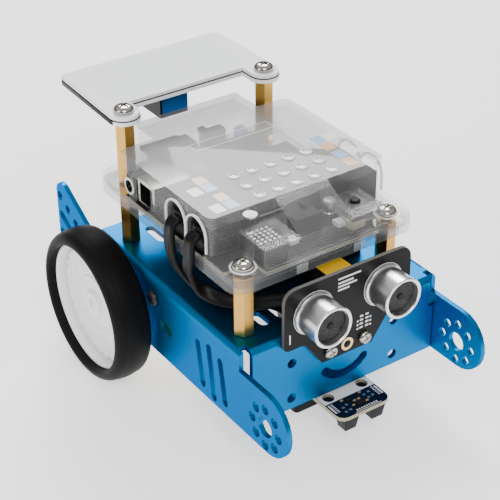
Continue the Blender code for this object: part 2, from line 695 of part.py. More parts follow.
def panel_plan(inset):
    """Board with two round ears in front, as (x, y)."""
    (left_x, ear_y), (right_x, _) = standoff_places()[2:]
    left, right = PANEL_LEFT + inset, PANEL_RIGHT - inset
    radius = PANEL_EAR_RADIUS - inset
    front, rear = PANEL_FRONT + inset, PANEL_REAR - inset
    points = arc((left + 3, rear - 3), 3, 180, 90, 3) + arc((right - 3, rear - 3), 3, 90, 0, 3)
    points += arc((right_x, ear_y), radius, 0, -180, 10) + [(right_x - radius, front)]
    points += [(left_x + radius, front)] + arc((left_x, ear_y), radius, 0, -180, 10)
    return points


def make_panel():
    top = PANEL_BOTTOM + BOARD_THICKNESS
    for name, low, high, inset, look in (
            ("panel_board", PANEL_BOTTOM, top, 0.0, BOARD),
            ("panel_diffuser", top + GAP, top + GAP + DIFFUSER_THICKNESS, 0.3, WHITE)):
        bm = bmesh.new()
        prism(bm, panel_plan(inset), "Z", low, high)
        obj = finish(bm, name, look)
        bm = bmesh.new()
        for place in standoff_places()[2:]:
            prism(bm, circle(place, 2.2, 16), "Z", low - 1, high + 1)
        cut(obj, bm)
    high = PANEL_BOTTOM - GAP
    low = (PANEL_SOCKET_X, PANEL_SOCKET_Y, high - SOCKET_HEIGHT)
    socket_body("panel_socket", low, (low[0] + SOCKET_WIDTH, low[1] + SOCKET_DEPTH, high), "+Y")


# ---------------------------------------------------------------- distance sensor

def sensor_plan():
    """Circuit board outline as (x, z): a wide head over a narrow tab."""
    half, tab_half = 29.0, 11.6
    top, shoulder, bottom = 75.6, 50.0, 38.4
    right = [(tab_half, bottom), (19.0, shoulder - 1.0), (21.0, shoulder)]
    right += arc((half - 2, shoulder + 2), 2, 270, 360, 2) + arc((half - 5, top - 5), 5, 0, 90, 4)
    left = [(-x, z) for x, z in reversed(right)]
    return right + left


def make_distance_sensor():
    back = SENSOR_FACE_Y + BOARD_THICKNESS
    bm = bmesh.new()
    prism(bm, sensor_plan(), "Y", SENSOR_FACE_Y, back)
    obj = finish(bm, "sensor_board", BOARD)
    bm = bmesh.new()
    for x in (-SENSOR_SCREW_X, 0, SENSOR_SCREW_X):
        prism(bm, circle((x, SENSOR_SCREW_Z), 1.6, 12), "Y", SENSOR_FACE_Y - 1, back + 1)
    cut(obj, bm)
    for name, side in (("left", -1), ("right", 1)):
        seat = SENSOR_FACE_Y - GAP
        rim = SENSOR_FACE_Y - SENSOR_LENGTH
        bm = bmesh.new()
        profile = [(0, seat), (SENSOR_RADIUS + 0.5, seat), (SENSOR_RADIUS + 0.5, seat - 1.0),
                   (SENSOR_RADIUS, seat - 1.2), (SENSOR_RADIUS, rim + 0.5), (SENSOR_RADIUS - 0.4, rim),
                   (SENSOR_RADIUS - 1.0, rim), (SENSOR_RADIUS - 1.3, rim + 1.4), (0, rim + 1.4)]
        turned(bm, profile, "Y", (side * SENSOR_HALF_PITCH, SENSOR_Z), 32)
        finish(bm, f"transducer_{name}", ALUMINIUM)
    low = (SMALL_SOCKET_X, back + GAP, SENSOR_SOCKET_Z)
    high = (low[0] + SMALL_SOCKET_DEPTH, low[1] + SENSOR_SOCKET_REACH, low[2] + SOCKET_WIDTH)
    socket_body("sensor_socket", low, high, "-X")


# ---------------------------------------------------------------- line sensor and caster

def make_line_sensor():
    bottom = LINE_TOP - BOARD_THICKNESS
    half = LINE_HALF_WIDTH
    plan = arc((-half + 3.5, LINE_FRONT + 3.5), 3.5, 180, 270, 3)
    plan += arc((half - 3.5, LINE_FRONT + 3.5), 3.5, 270, 360, 3)
    plan += arc((half - 2, LINE_REAR - 2), 2, 0, 90, 2) + arc((-half + 2, LINE_REAR - 2), 2, 90, 180, 2)
    bm = bmesh.new()
    prism(bm, plan, "Z", bottom, LINE_TOP)
    obj = finish(bm, "line_board", BOARD)
    bm = bmesh.new()
    for side in (-1, 1):
        prism(bm, circle((side * 8.0, -58.6), M4_HOLE_RADIUS, 16), "Z", bottom - 1, LINE_TOP + 1)
        boss = circle((side * CASTER_SCREW_X, CASTER_SCREW_Y), CASTER_BOSS_RADIUS + GAP, 16)
        prism(bm, boss, "Z", bottom - 1, LINE_TOP + 1)
    cut(obj, bm)
    for name, side in (("left", -1), ("right", 1)):
        x = side * DETECTOR_X
        bm = bmesh.new()
        box(bm, (x - 3.4, DETECTOR_Y - 3.3, DETECTOR_BOTTOM), (x + 3.4, DETECTOR_Y + 3.3, bottom - GAP))
        for vert in bm.verts:
            if vert.co.z < (DETECTOR_BOTTOM + 1) * MM:
                vert.co.x += (x * MM - vert.co.x) * 0.25
                vert.co.y += (DETECTOR_Y * MM - vert.co.y) * 0.25
        finish(bm, f"line_detector_{name}", BLACK)
    low = (SMALL_SOCKET_X, LINE_SOCKET_Y, LINE_TOP + GAP)
    high = (low[0] + SMALL_SOCKET_DEPTH, low[1] + SOCKET_WIDTH, low[2] + SOCKET_HEIGHT)
    socket_body("line_socket", low, high, "-X")


def make_caster():
    """Block with a ball socket under it and two bosses that rise through the line board."""
    top = CASTER_HI[2]
    screws = [(side * CASTER_SCREW_X, CASTER_SCREW_Y) for side in (-1, 1)]
    bm = bmesh.new()
    prism(bm, rounded_rectangle(CASTER_LO[:2], CASTER_HI[:2], 1.5, 2), "Z", CASTER_LO[2], top)
    obj = finish(bm, "caster_housing", BLACK)
    bm = bmesh.new()
    for place in screws:
        prism(bm, circle(place, CASTER_BOSS_RADIUS, 16), "Z", top - 2, WALL_BOTTOM - GAP)
    turned(bm, [(0, 0.5), (7.2, 0.5), (7.2, CASTER_LO[2] + 2), (0, CASTER_LO[2] + 2)], "Z", (0, CASTER_Y), 24)
    add(obj, bm)
    shell = []
    for degrees in range(-22, 90, 14):
        angle = math.radians(degrees)
        shell.append((CAVITY_RADIUS * math.cos(angle), BALL_RADIUS + CAVITY_RADIUS * math.sin(angle)))
    bm = bmesh.new()
    turned(bm, [(0, 0), (8, 0), (8, shell[0][1])] + shell + [(0, BALL_RADIUS + CAVITY_RADIUS)],
           "Z", (0, CASTER_Y), 24)
    for place in screws:
        prism(bm, circle(place, 1.7, 12), "Z", top - 6, WALL_BOTTOM + 1)
    cut(obj, bm)
    bm = bmesh.new()
    bmesh.ops.create_uvsphere(bm, u_segments=20, v_segments=10, radius=BALL_RADIUS * MM)
    bmesh.ops.translate(bm, verts=bm.verts, vec=Vector((0, CASTER_Y, BALL_RADIUS)) * MM)
    finish(bm, "caster_ball", STEEL, (0, CASTER_Y, BALL_RADIUS))


# ---------------------------------------------------------------- wheels and motors

def make_tyre(side, name):
    inner_x, outer_x = TYRE_OUTER_X - TYRE_WIDTH, TYRE_OUTER_X
    shoulder = 2.6
    profile = [(TYRE_INNER_RADIUS, inner_x + 0.8), (TYRE_INNER_RADIUS + 0.8, inner_x)]
    profile += [(r, h) for h, r in arc((inner_x + shoulder, TYRE_RADIUS - shoulder), shoulder, 180, 90, 3)]
    profile += [(r, h) for h, r in arc((outer_x - shoulder, TYRE_RADIUS - shoulder), shoulder, 90, 0, 3)]
    profile += [(TYRE_INNER_RADIUS + 0.8, outer_x), (TYRE_INNER_RADIUS, outer_x - 0.8)]
    bm = bmesh.new()
    turned(bm, [(r, side * h) for r, h in profile], "X", (AXLE_Y, AXLE_Z), 48)
    finish(bm, f"tyre_{name}", RUBBER, (side * outer_x, AXLE_Y, AXLE_Z))


def make_hub(side, name):
    """Wheel with a deep rim, a recessed web and a blind boss that takes the motor's shaft from inside."""
    inner_x, outer_x = TYRE_OUTER_X - TYRE_WIDTH + 1.0, TYRE_OUTER_X - 1.0
    rim = HUB_RADIUS - 2.4
    web_in = HUB_WEB_X - 2.4
    bore = SHAFT_RADIUS + GAP
    profile = [(0, outer_x - 1.2), (BOSS_RADIUS - 0.4, outer_x - 1.2), (BOSS_RADIUS, outer_x - 1.6),
               (BOSS_RADIUS, HUB_WEB_X), (rim, HUB_WEB_X), (rim + 0.2, outer_x), (HUB_RADIUS, outer_x),
               (HUB_RADIUS, inner_x), (rim + 0.2, inner_x), (rim, web_in), (BOSS_RADIUS, web_in),
               (BOSS_RADIUS, inner_x + 1), (bore, inner_x + 1), (bore, SHAFT_END_X + GAP),
               (0, SHAFT_END_X + GAP)]
    bm = bmesh.new()
    turned(bm, [(r, side * h) for r, h in profile], "X", (AXLE_Y, AXLE_Z), 48)
    finish(bm, f"wheel_hub_{name}", WHITE, (side * outer_x, AXLE_Y, AXLE_Z))


def make_shaft(side, name):
    start, end = HALF_WIDTH - SHEET - GAP - 4.0, SHAFT_END_X
    half_flat = 1.85
    angle = math.degrees(math.acos(half_flat / SHAFT_RADIUS))
    section = arc((AXLE_Y, AXLE_Z), SHAFT_RADIUS, 90 - angle, -90 + angle, 6)
    section += arc((AXLE_Y, AXLE_Z), SHAFT_RADIUS, 270 - angle, 90 + angle, 6)
    bm = bmesh.new()
    prism(bm, section, "X", *sorted((side * start, side * end)))
    obj = finish(bm, f"output_shaft_{name}", WHITE, (side * start, AXLE_Y, AXLE_Z))
    bm = bmesh.new()
    prism(bm, circle((AXLE_Y, AXLE_Z), 1.4, 12), "X", *sorted((side * (end - 6.5), side * (end + 1))))
    cut(obj, bm)


def make_gearmotor(side, name):
    outer = HALF_WIDTH - SHEET - GAP
    inner = outer - GEARBOX_DEPTH
    low, high = AXLE_Z - GEARBOX_HALF_HEIGHT, AXLE_Z + GEARBOX_HALF_HEIGHT
    span = sorted((side * inner, side * outer))
    bm = bmesh.new()
    prism(bm, rounded_rectangle((AXLE_Y - 26.0, low), (AXLE_Y + 11.0, high), 3.0, 3), "X", *span)
    obj = finish(bm, f"gearbox_{name}", YELLOW)
    bm = bmesh.new()
    prism(bm, circle((AXLE_Y, AXLE_Z), SHAFT_RADIUS + GAP, 16), "X",
          *sorted((side * (outer - 4.6), side * (outer + 1))))
    for z in (AXLE_Z - 8.7, AXLE_Z + 8.7):
        prism(bm, circle((AXLE_Y - 20.0, z), 1.5, 12), "X", *sorted((side * (inner - 1), side * (outer + 1))))
    cut(obj, bm)
    rear = AXLE_Y - 26.0 - GAP
    centre_x = side * (inner + GEARBOX_DEPTH / 2)
    angle = math.degrees(math.asin(MOTOR_FLAT / MOTOR_RADIUS))
    section = arc((centre_x, AXLE_Z), MOTOR_RADIUS, -angle, angle, 5)
    section += arc((centre_x, AXLE_Z), MOTOR_RADIUS, 180 - angle, 180 + angle, 5)
    bm = bmesh.new()
    prism(bm, section, "Y", rear - 24.0, rear)
    obj = finish(bm, f"motor_{name}", STEEL)
    bm = bmesh.new()
    prism(bm, circle((centre_x, AXLE_Z), 3.2, 12), "Y", rear - 26.0, rear - 23.0)
    add(obj, bm)


# ---------------------------------------------------------------- cables

def smooth_path(points, steps):
    """Catmull-Rom curve through the points, steps per stretch."""
    points = [Vector(p) for p in points]
    ends = [points[0] * 2 - points[1]] + points + [points[-1] * 2 - points[-2]]
    path = []
    for a, b, c, d in zip(ends, ends[1:], ends[2:], ends[3:]):
        for i in range(steps):
            t = i / steps
            path.append(0.5 * ((2 * b) + (c - a) * t + (2 * a - 5 * b + 4 * c - d) * t * t
                               + (3 * b - a - 3 * c + d) * t ** 3))
    path.append(points[-1])
    return path


def make_cable(name, points, width_start, width_end, steps=3):
    """Flat cable swept along a smooth route. Its width turns from one direction to the other."""
    path = smooth_path(points, steps)
    half_w, half_t = CABLE_WIDTH / 2, CABLE_THICKNESS / 2
    section = rounded_rectangle((-half_w, -half_t), (half_w, half_t), half_t * 0.9, 1)
    start, end = Vector(width_start), Vector(width_end)
    bm = bmesh.new()
    rings = []
    for i, point in enumerate(path):
        ahead = path[min(i + 1, len(path) - 1)] - path[max(i - 1, 0)]
        t = i / (len(path) - 1)
        t = t * t * (3 - 2 * t)
        across = start.lerp(end, t)
        across = (across - across.project(ahead)).normalized()
        up = ahead.cross(across).normalized()
        rings.append([bm.verts.new((point + across * u + up * v) * MM) for u, v in section])
    for low, high in zip(rings, rings[1:]):
        for i in range(len(section)):
            j = (i + 1) % len(section)
            bm.faces.new((low[i], low[j], high[j], high[i]))
    bm.faces.new(rings[0])
    bm.faces.new(rings[-1])
    bmesh.ops.recalc_face_normals(bm, faces=bm.faces)
    finish(bm, name, RUBBER)


def make_plug(name, lo, hi, boot_lo, boot_hi):
    """Cable plug inside a socket with a smaller boot behind it."""
    bm = bmesh.new()
    box(bm, lo, hi)
    obj = finish(bm, name, BLACK)
    bm = bmesh.new()
    box(bm, boot_lo, boot_hi)
    add(obj, bm)


def make_cables():
    mouth_z = SOCKET_BOTTOM + SOCKET_HEIGHT / 2
    inset = SOCKET_WALL + PLUG_CLEARANCE
    for name, y in (("sensor", PORT_Y[0]), ("line", PORT_Y[1])):
        make_plug(f"{name}_plug_case",
                  (LEFT_FACE - 0.5, y - SOCKET_WIDTH / 2 + inset, SOCKET_BOTTOM + inset),
                  (LEFT_FACE + PLUG_REACH, y + SOCKET_WIDTH / 2 - inset,
                   SOCKET_BOTTOM + SOCKET_HEIGHT - inset),
                  (LEFT_FACE - BOOT_LENGTH, y - 3.6, mouth_z), (LEFT_FACE + 1.0, y + 3.6, mouth_z + 4.2))
    exit_x = LEFT_FACE - BOOT_LENGTH - GAP
    exit_z = mouth_z + 2.1
    low_y = SENSOR_FACE_Y + BOARD_THICKNESS + GAP
    mouth = (SMALL_SOCKET_X, low_y + SENSOR_SOCKET_REACH / 2, SENSOR_SOCKET_Z + SOCKET_WIDTH / 2)
    make_plug("sensor_plug_far",
              (mouth[0] - 1.0, low_y + inset, SENSOR_SOCKET_Z + inset),
              (mouth[0] + PLUG_REACH, low_y + SENSOR_SOCKET_REACH - inset,
               SENSOR_SOCKET_Z + SOCKET_WIDTH - inset),
              (mouth[0] - 6.0, mouth[1] - 2.2, mouth[2] - 3.6),
              (mouth[0] + 1.0, mouth[1] + 2.2, mouth[2] + 3.6))
    line_y = LINE_SOCKET_Y + SOCKET_WIDTH / 2
    line_z = LINE_TOP + GAP + SOCKET_HEIGHT / 2
    make_plug("line_plug_far",
              (SMALL_SOCKET_X - 1.0, LINE_SOCKET_Y + inset, LINE_TOP + GAP + inset),
              (SMALL_SOCKET_X + PLUG_REACH, LINE_SOCKET_Y + SOCKET_WIDTH - inset,
               LINE_TOP + GAP + SOCKET_HEIGHT - inset),
              (SMALL_SOCKET_X - 6.0, line_y - 3.6, line_z - 2.2),
              (SMALL_SOCKET_X, line_y + 3.6, line_z + 2.2))
    sensor_y, line_port_y = PORT_Y
    make_cable("sensor_cable",
               [(exit_x, sensor_y, exit_z), (exit_x - 1.2, sensor_y, exit_z - 0.1),
                (-45.9, sensor_y, 85.5), (-46.4, sensor_y + 0.2, 79.0), (-46.0, sensor_y + 1.4, 72.5),
                (-43.8, -24.4, 66.8), (-40.0, -28.6, 63.0), (-35.4, -33.6, 61.2), (-30.2, -39.3, 61.6),
                (-24.0, -45.0, 63.4), (-18.5, -49.6, 64.8), (mouth[0] - 6.0 - GAP, mouth[1], mouth[2])],
               (0, 1, 0), (0, 0, 1))
    make_cable("line_cable",
               [(exit_x, line_port_y, exit_z), (exit_x - 1.2, line_port_y, exit_z - 0.1),
                (-45.9, line_port_y - 0.1, 85.3), (-46.4, line_port_y - 0.4, 79.0), (-46.0, -12.2, 72.6),
                (-44.3, -15.0, 67.2), (-41.6, -18.8, 62.6), (-38.0, -24.0, 59.6), (-33.4, -30.0, 58.0),
                (-28.0, -34.5, 57.6), (-21.5, -38.4, 57.2), (-16.4, -40.2, 52.5), (-15.6, -38.6, 45.0),
                (-19.4, -34.2, 37.0), (-20.2, -29.0, 30.2), (-17.4, line_y, line_z + 0.4),
                (SMALL_SOCKET_X - 6.0 - GAP, line_y, line_z)],
               (0, 1, 0), (0, 1, 0))


# ---------------------------------------------------------------- build

def clear_scene():
    for obj in list(bpy.data.objects):
        bpy.data.objects.remove(obj, do_unlink=True)


def main():
    clear_scene()
    make_chassis()
    make_standoffs()
    make_screws()
    make_case()
    make_main_board()
    make_controls()
    make_board_parts()
    make_battery()
    make_panel()
    make_distance_sensor()
    make_line_sensor()
    make_caster()
    for side, name in ((-1, "left"), (1, "right")):
        make_tyre(side, name)
        make_hub(side, name)
        make_shaft(side, name)
        make_gearmotor(side, name)
    make_cables()


main()
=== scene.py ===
"""Looks of the two-wheel educational robot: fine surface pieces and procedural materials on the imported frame.

Lengths are millimetres in the row frame and become metres in the mesh helpers.
The front faces -Y, the camera stands at the front left, +Z is up.
"""
import math

import bmesh
import bpy
from mathutils import Matrix, Vector


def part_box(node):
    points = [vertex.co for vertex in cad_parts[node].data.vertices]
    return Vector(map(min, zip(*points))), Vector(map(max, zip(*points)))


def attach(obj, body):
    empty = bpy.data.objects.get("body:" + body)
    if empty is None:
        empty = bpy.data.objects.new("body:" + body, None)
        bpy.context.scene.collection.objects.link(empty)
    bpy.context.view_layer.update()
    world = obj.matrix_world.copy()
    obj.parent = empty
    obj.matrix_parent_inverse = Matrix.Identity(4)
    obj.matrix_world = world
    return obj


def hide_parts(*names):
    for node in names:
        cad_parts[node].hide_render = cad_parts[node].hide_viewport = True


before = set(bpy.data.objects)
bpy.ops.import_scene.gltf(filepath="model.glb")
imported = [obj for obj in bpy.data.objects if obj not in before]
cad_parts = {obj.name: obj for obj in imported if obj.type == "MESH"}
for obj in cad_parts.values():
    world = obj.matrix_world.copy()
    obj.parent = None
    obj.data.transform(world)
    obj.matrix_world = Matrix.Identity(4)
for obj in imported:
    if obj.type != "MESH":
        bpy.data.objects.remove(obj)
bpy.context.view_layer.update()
MM = 0.001
SIDES = (("left", -1), ("right", 1))
BOARD_TOP = 79.2
SPEAKER_LEDGE = 89.5
LID_FRAME = ((-19.4, 14.0), (17.0, 20.0))
CAMERA_PLACE = (-0.26796, -0.38404, 0.34947)
CAMERA_RIGHT = (0.8223, -0.5690, -0.0064)
CAMERA_BACK = (-0.4785, -0.6976, 0.5333)
LENS, SENSOR_WIDTH = 100.6, 36.0
FLOOR_SIZE = 3.0


def span(node):
    """Lowest and highest corner of a CAD node in millimetres."""
    low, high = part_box(node)
    return low / MM, high / MM


# ---------------------------------------------------------------- materials

def ramp(nodes, links, source, low, high):
    """Map a 0 to 1 value to the range low to high."""
    node = nodes.new("ShaderNodeMapRange")
    node.inputs["To Min"].default_value = low
    node.inputs["To Max"].default_value = high
    links.new(source, node.inputs["Value"])
    return node.outputs["Result"]


def tinted(nodes, links, source, dark, light):
    """Mix two colours by a 0 to 1 value."""
    node = nodes.new("ShaderNodeMix")
    node.data_type = "RGBA"
    node.inputs[6].default_value = (*dark, 1)
    node.inputs[7].default_value = (*light, 1)
    links.new(source, node.inputs[0])
    return node.outputs[2]


def surface(name, colour, roughness, metallic=0.0, grain=900.0, bump=0.1, depth=0.00005, tint=0.08,
            rough_tint=0.06, stretch=(1, 1, 1), pattern="NOISE", **sockets):
    """Principled material with its own grain, tint and roughness variation."""
    mat = bpy.data.materials.new(name)
    mat.use_nodes = True
    nodes, links = mat.node_tree.nodes, mat.node_tree.links
    shader = nodes["Principled BSDF"]
    shader.inputs["Metallic"].default_value = metallic
    for key, value in sockets.items():
        shader.inputs[key.replace("_", " ")].default_value = value
    place = nodes.new("ShaderNodeTexCoord")
    mapping = nodes.new("ShaderNodeMapping")
    mapping.inputs["Scale"].default_value = stretch
    links.new(place.outputs["Object"], mapping.inputs["Vector"])
    fine = nodes.new("ShaderNodeTexNoise")
    fine.inputs["Scale"].default_value = grain
    fine.inputs["Detail"].default_value = 4.0
    links.new(mapping.outputs["Vector"], fine.inputs["Vector"])
    broad = nodes.new("ShaderNodeTexNoise")
    broad.inputs["Scale"].default_value = 45.0
    broad.inputs["Detail"].default_value = 3.0
    links.new(place.outputs["Object"], broad.inputs["Vector"])
    dark = tuple(max(c * (1 - tint), 0) for c in colour)
    light = tuple(min(c * (1 + tint), 1) for c in colour)
    links.new(tinted(nodes, links, broad.outputs["Fac"], dark, light), shader.inputs["Base Color"])
    links.new(ramp(nodes, links, fine.outputs["Fac"], max(roughness - rough_tint, 0.02),
                   min(roughness + rough_tint, 1)), shader.inputs["Roughness"])
    height = fine.outputs["Fac"]
    if pattern == "VORONOI":
        cells = nodes.new("ShaderNodeTexVoronoi")
        cells.inputs["Scale"].default_value = grain
        links.new(mapping.outputs["Vector"], cells.inputs["Vector"])
        height = cells.outputs["Distance"]
    relief = nodes.new("ShaderNodeBump")
    relief.inputs["Strength"].default_value = bump
    relief.inputs["Distance"].default_value = depth
    links.new(height, relief.inputs["Height"])
    links.new(relief.outputs["Normal"], shader.inputs["Normal"])
    return mat


def clear(name, colour, alpha, roughness):
    """See-through moulded plastic: lets the inside show and keeps its own gloss."""
    mat = surface(name, colour, roughness, grain=260.0, bump=0.12, depth=0.0001, tint=0.05, rough_tint=0.04,
                  Alpha=alpha, Coat_Weight=0.6, Coat_Roughness=0.05, IOR=1.5)
    mat.surface_render_method = "BLENDED"
    return mat


BLUE = surface("blue_anodised", (0.0, 0.175, 0.42), 0.44, 1.0, grain=5200, bump=0.16, depth=0.00003, tint=0.05,
               Specular_Tint=(0.0, 0.36, 0.75, 1))
BRASS = surface("turned_brass", (0.62, 0.35, 0.08), 0.3, 1.0, grain=1500, bump=0.05, tint=0.05)
NICKEL = surface("nickel_plate", (0.46, 0.44, 0.40), 0.17, 1.0, grain=1500, bump=0.06)
DARK_STEEL = surface("black_oxide", (0.02, 0.02, 0.022), 0.38, 0.5, grain=1500)
CAN = surface("brushed_aluminium", (0.78, 0.78, 0.79), 0.3, 1.0, grain=900, bump=0.2, stretch=(1, 0.05, 1))
RUBBER = surface("tyre_rubber", (0.006, 0.006, 0.0065), 0.5, grain=1400, bump=0.25, depth=0.00012, tint=0.25,
                 Specular_IOR_Level=0.07)
WHITE = surface("white_moulding", (0.92, 0.925, 0.94), 0.34, grain=800, bump=0.06, tint=0.03)
MILKY = surface("milky_diffuser", (0.93, 0.935, 0.96), 0.42, grain=1200, bump=0.08, tint=0.03,
                Subsurface_Weight=0.15, Subsurface_Scale=0.003)
BLACK = surface("black_moulding", (0.008, 0.008, 0.0085), 0.36, grain=1300, bump=0.18, tint=0.2,
                Specular_IOR_Level=0.12)
JACKET = surface("cable_jacket", (0.006, 0.006, 0.0065), 0.36, grain=1800, bump=0.2, tint=0.3,
                 Specular_IOR_Level=0.12)
PCB = surface("black_mask", (0.010, 0.0095, 0.010), 0.34, grain=420, bump=0.15, depth=0.00006, pattern="VORONOI",
              Specular_IOR_Level=0.1)
NAVY = surface("navy_mask", (0.004, 0.010, 0.024), 0.3, grain=420, bump=0.15, depth=0.00006, pattern="VORONOI",
               Specular_IOR_Level=0.12)
FIBRE = surface("board_edge", (0.42, 0.38, 0.25), 0.7, grain=1600, bump=0.2)
DARK_EDGE = surface("dark_board_edge", (0.09, 0.085, 0.075), 0.6, grain=1600, bump=0.2)
PRINT = surface("white_print", (0.82, 0.82, 0.80), 0.6, grain=2500, bump=0.2)
GOLD = surface("gold_pad", (0.80, 0.58, 0.24), 0.28, 1.0, grain=1600)
SOLDER = surface("solder", (0.66, 0.66, 0.67), 0.32, 1.0, grain=1400, bump=0.3)
CHIP = surface("chip_resin", (0.016, 0.016, 0.017), 0.5, grain=2600, bump=0.3, Specular_IOR_Level=0.12)
YELLOW = surface("yellow_label", (0.86, 0.50, 0.0), 0.6, grain=1300, bump=0.1)
GEAR = surface("yellow_moulding", (0.80, 0.55, 0.03), 0.4, grain=900, bump=0.1)
SKY = surface("blue_label", (0.0, 0.12, 0.42), 0.5, grain=1300, bump=0.1, Specular_IOR_Level=0.2)
CERAMIC = surface("ceramic", (0.36, 0.25, 0.15), 0.5, grain=1500)
MESH = surface("sensor_mesh", (0.035, 0.034, 0.033), 0.5, 0.6, grain=1150, bump=0.9, depth=0.0004,
               pattern="VORONOI")
COVER = clear("clear_cover", (0.42, 0.42, 0.42), 0.14, 0.2)
LID_TOP = clear("frosted_lid", (0.40, 0.40, 0.39), 0.5, 0.45)
TRAY = clear("clear_tray", (0.20, 0.21, 0.22), 0.28, 0.16)
# Whiter, more opaque clear plastic. It is the own colour of the lid rings, lid outline, port lips and screw
# seats. On the bevelled edges of the clear tray and cover it is a painted highlight.
FROST_AND_EDGE_HIGHLIGHT = clear("frost_and_painted_edge_highlight", (0.93, 0.94, 0.95), 0.72, 0.2)
CLIP = clear("clear_clip", (0.60, 0.62, 0.64), 0.35, 0.16)
PATCH_ORANGE = clear("orange_print", (0.74, 0.36, 0.14), 0.9, 0.4)
PATCH_BLUE = clear("blue_print", (0.20, 0.40, 0.66), 0.9, 0.4)
PATCH_WHITE = clear("white_patch", (0.93, 0.94, 0.95), 0.8, 0.3)


# ---------------------------------------------------------------- mesh tools

def at(axis, u, v, w):
    if axis == "X":
        return Vector((w, u, v)) * MM
    if axis == "Y":
        return Vector((u, w, v)) * MM
    return Vector((u, v, w)) * MM


def circle(centre, radius, segments, turn=0.0):
    return [(centre[0] + radius * math.cos(turn + 2 * math.pi * i / segments),
             centre[1] + radius * math.sin(turn + 2 * math.pi * i / segments)) for i in range(segments)]


def arc(centre, radius, start, end, steps):
    angles = [math.radians(start + (end - start) * i / steps) for i in range(steps + 1)]
    return [(centre[0] + radius * math.cos(a), centre[1] + radius * math.sin(a)) for a in angles]


def rounded(lo, hi, radius, steps=4):
    corners = (((hi[0] - radius, lo[1] + radius), -90), ((hi[0] - radius, hi[1] - radius), 0),
               ((lo[0] + radius, hi[1] - radius), 90), ((lo[0] + radius, lo[1] + radius), 180))
    return [p for centre, start in corners for p in arc(centre, radius, start, start + 90, steps)]


def prism(bm, outline, axis, start, end):
    rings = [[bm.verts.new(at(axis, u, v, w)) for u, v in outline] for w in (start, end)]
    made = [bm.faces.new(rings[0]), bm.faces.new(rings[1])]
    for i in range(len(outline)):
        j = (i + 1) % len(outline)
        made.append(bm.faces.new((rings[0][i], rings[0][j], rings[1][j], rings[1][i])))
    bmesh.ops.recalc_face_normals(bm, faces=made)


def box(bm, lo, hi):
    prism(bm, [(lo[0], lo[1]), (hi[0], lo[1]), (hi[0], hi[1]), (lo[0], hi[1])], "Z", lo[2], hi[2])


def turned(bm, profile, axis, centre, segments, ripple=None):
    """Turn (radius, height) points, or (radius, height, share) where ripple moves the radius by its share."""
    loops = []
    for point in profile:
        radius, height, share = (*point, 0.0)[:3]
        if radius == 0:
            loops.append([bm.verts.new(at(axis, centre[0], centre[1], height))])
            continue
        ring = []
        for i in range(segments):
            angle = 2 * math.pi * i / segments
            r = radius + (share * ripple(angle) if ripple else 0.0)
            ring.append(bm.verts.new(at(axis, centre[0] + r * math.cos(angle), centre[1] + r * math.sin(angle),
                                        height)))
        loops.append(ring)
    pairs = list(zip(loops, loops[1:]))
    if len(loops[0]) > 1 and len(loops[-1]) > 1:
        pairs.append((loops[-1], loops[0]))
    made = []
    for low, high in pairs:
        for i in range(segments):
            j = (i + 1) % segments
            ring = [low[i % len(low)], low[j % len(low)], high[j % len(high)], high[i % len(high)]]
            corners = list(dict.fromkeys(ring))
            if len(corners) > 2:
                made.append(bm.faces.new(corners))
    bmesh.ops.recalc_face_normals(bm, faces=made)


def piece(name, bm, mat, body="chassis", bevel=0.0, smooth=35):
    """Make an object from bm, with rounded edges where bevel is set, riding on a body."""
    mesh = bpy.data.meshes.new(name)
    bm.to_mesh(mesh)
    bm.free()
    mesh.shade_smooth()
    mesh.set_sharp_from_angle(angle=math.radians(smooth))
    mesh.materials.append(mat)
    obj = bpy.data.objects.new(name, mesh)
    bpy.context.collection.objects.link(obj)
    if bevel:
        soften(obj, bevel)
    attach(obj, body)
    return obj


def soften(obj, width, segments=2, slot=-1):
    rounding = obj.modifiers.new("rounding", "BEVEL")
    rounding.material = slot
    rounding.width = width * MM
    rounding.segments = segments
    rounding.limit_method = "ANGLE"
    rounding.angle_limit = math.radians(32)
    rounding.use_clamp_overlap = True
    obj.modifiers.new("normals", "WEIGHTED_NORMAL")


def dress(node, mat, bevel=0.0, edge=None):
    """Give a CAD node its material, joined faces, and rounded or split edges (of material edge if given)."""
    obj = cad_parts[node]
    obj.data.materials.clear()
    obj.data.materials.append(mat)
    if edge:
        obj.data.materials.append(edge)
    for normal in ("custom_normal", "sharp_face"):
        if normal in obj.data.attributes:
            obj.data.attributes.remove(obj.data.attributes[normal])
    obj.data.shade_smooth()
    weld = obj.modifiers.new("weld", "WELD")
    weld.merge_threshold = 0.000002
    if bevel:
        soften(obj, bevel, slot=1 if edge else -1)
    else:
        split = obj.modifiers.new("edges", "EDGE_SPLIT")
        split.split_angle = math.radians(35)
    return obj


def carve(obj, bm):
    """Cut the closed bodies in bm out of obj's mesh for good."""
    mesh = bpy.data.meshes.new("carve")
    bm.to_mesh(mesh)
    bm.free()
    tool = bpy.data.objects.new("carve", mesh)
    bpy.context.collection.objects.link(tool)
    cutter = obj.modifiers.new("carve", "BOOLEAN")
    cutter.object = tool
    bpy.context.view_layer.update()
    result = bpy.data.meshes.new_from_object(obj.evaluated_get(bpy.context.evaluated_depsgraph_get()))
    obj.modifiers.remove(cutter)
    obj.data = result
    bpy.data.objects.remove(tool, do_unlink=True)
    result.shade_smooth()
    result.set_sharp_from_angle(angle=math.radians(35))


# ---------------------------------------------------------------- CAD nodes that keep their shape

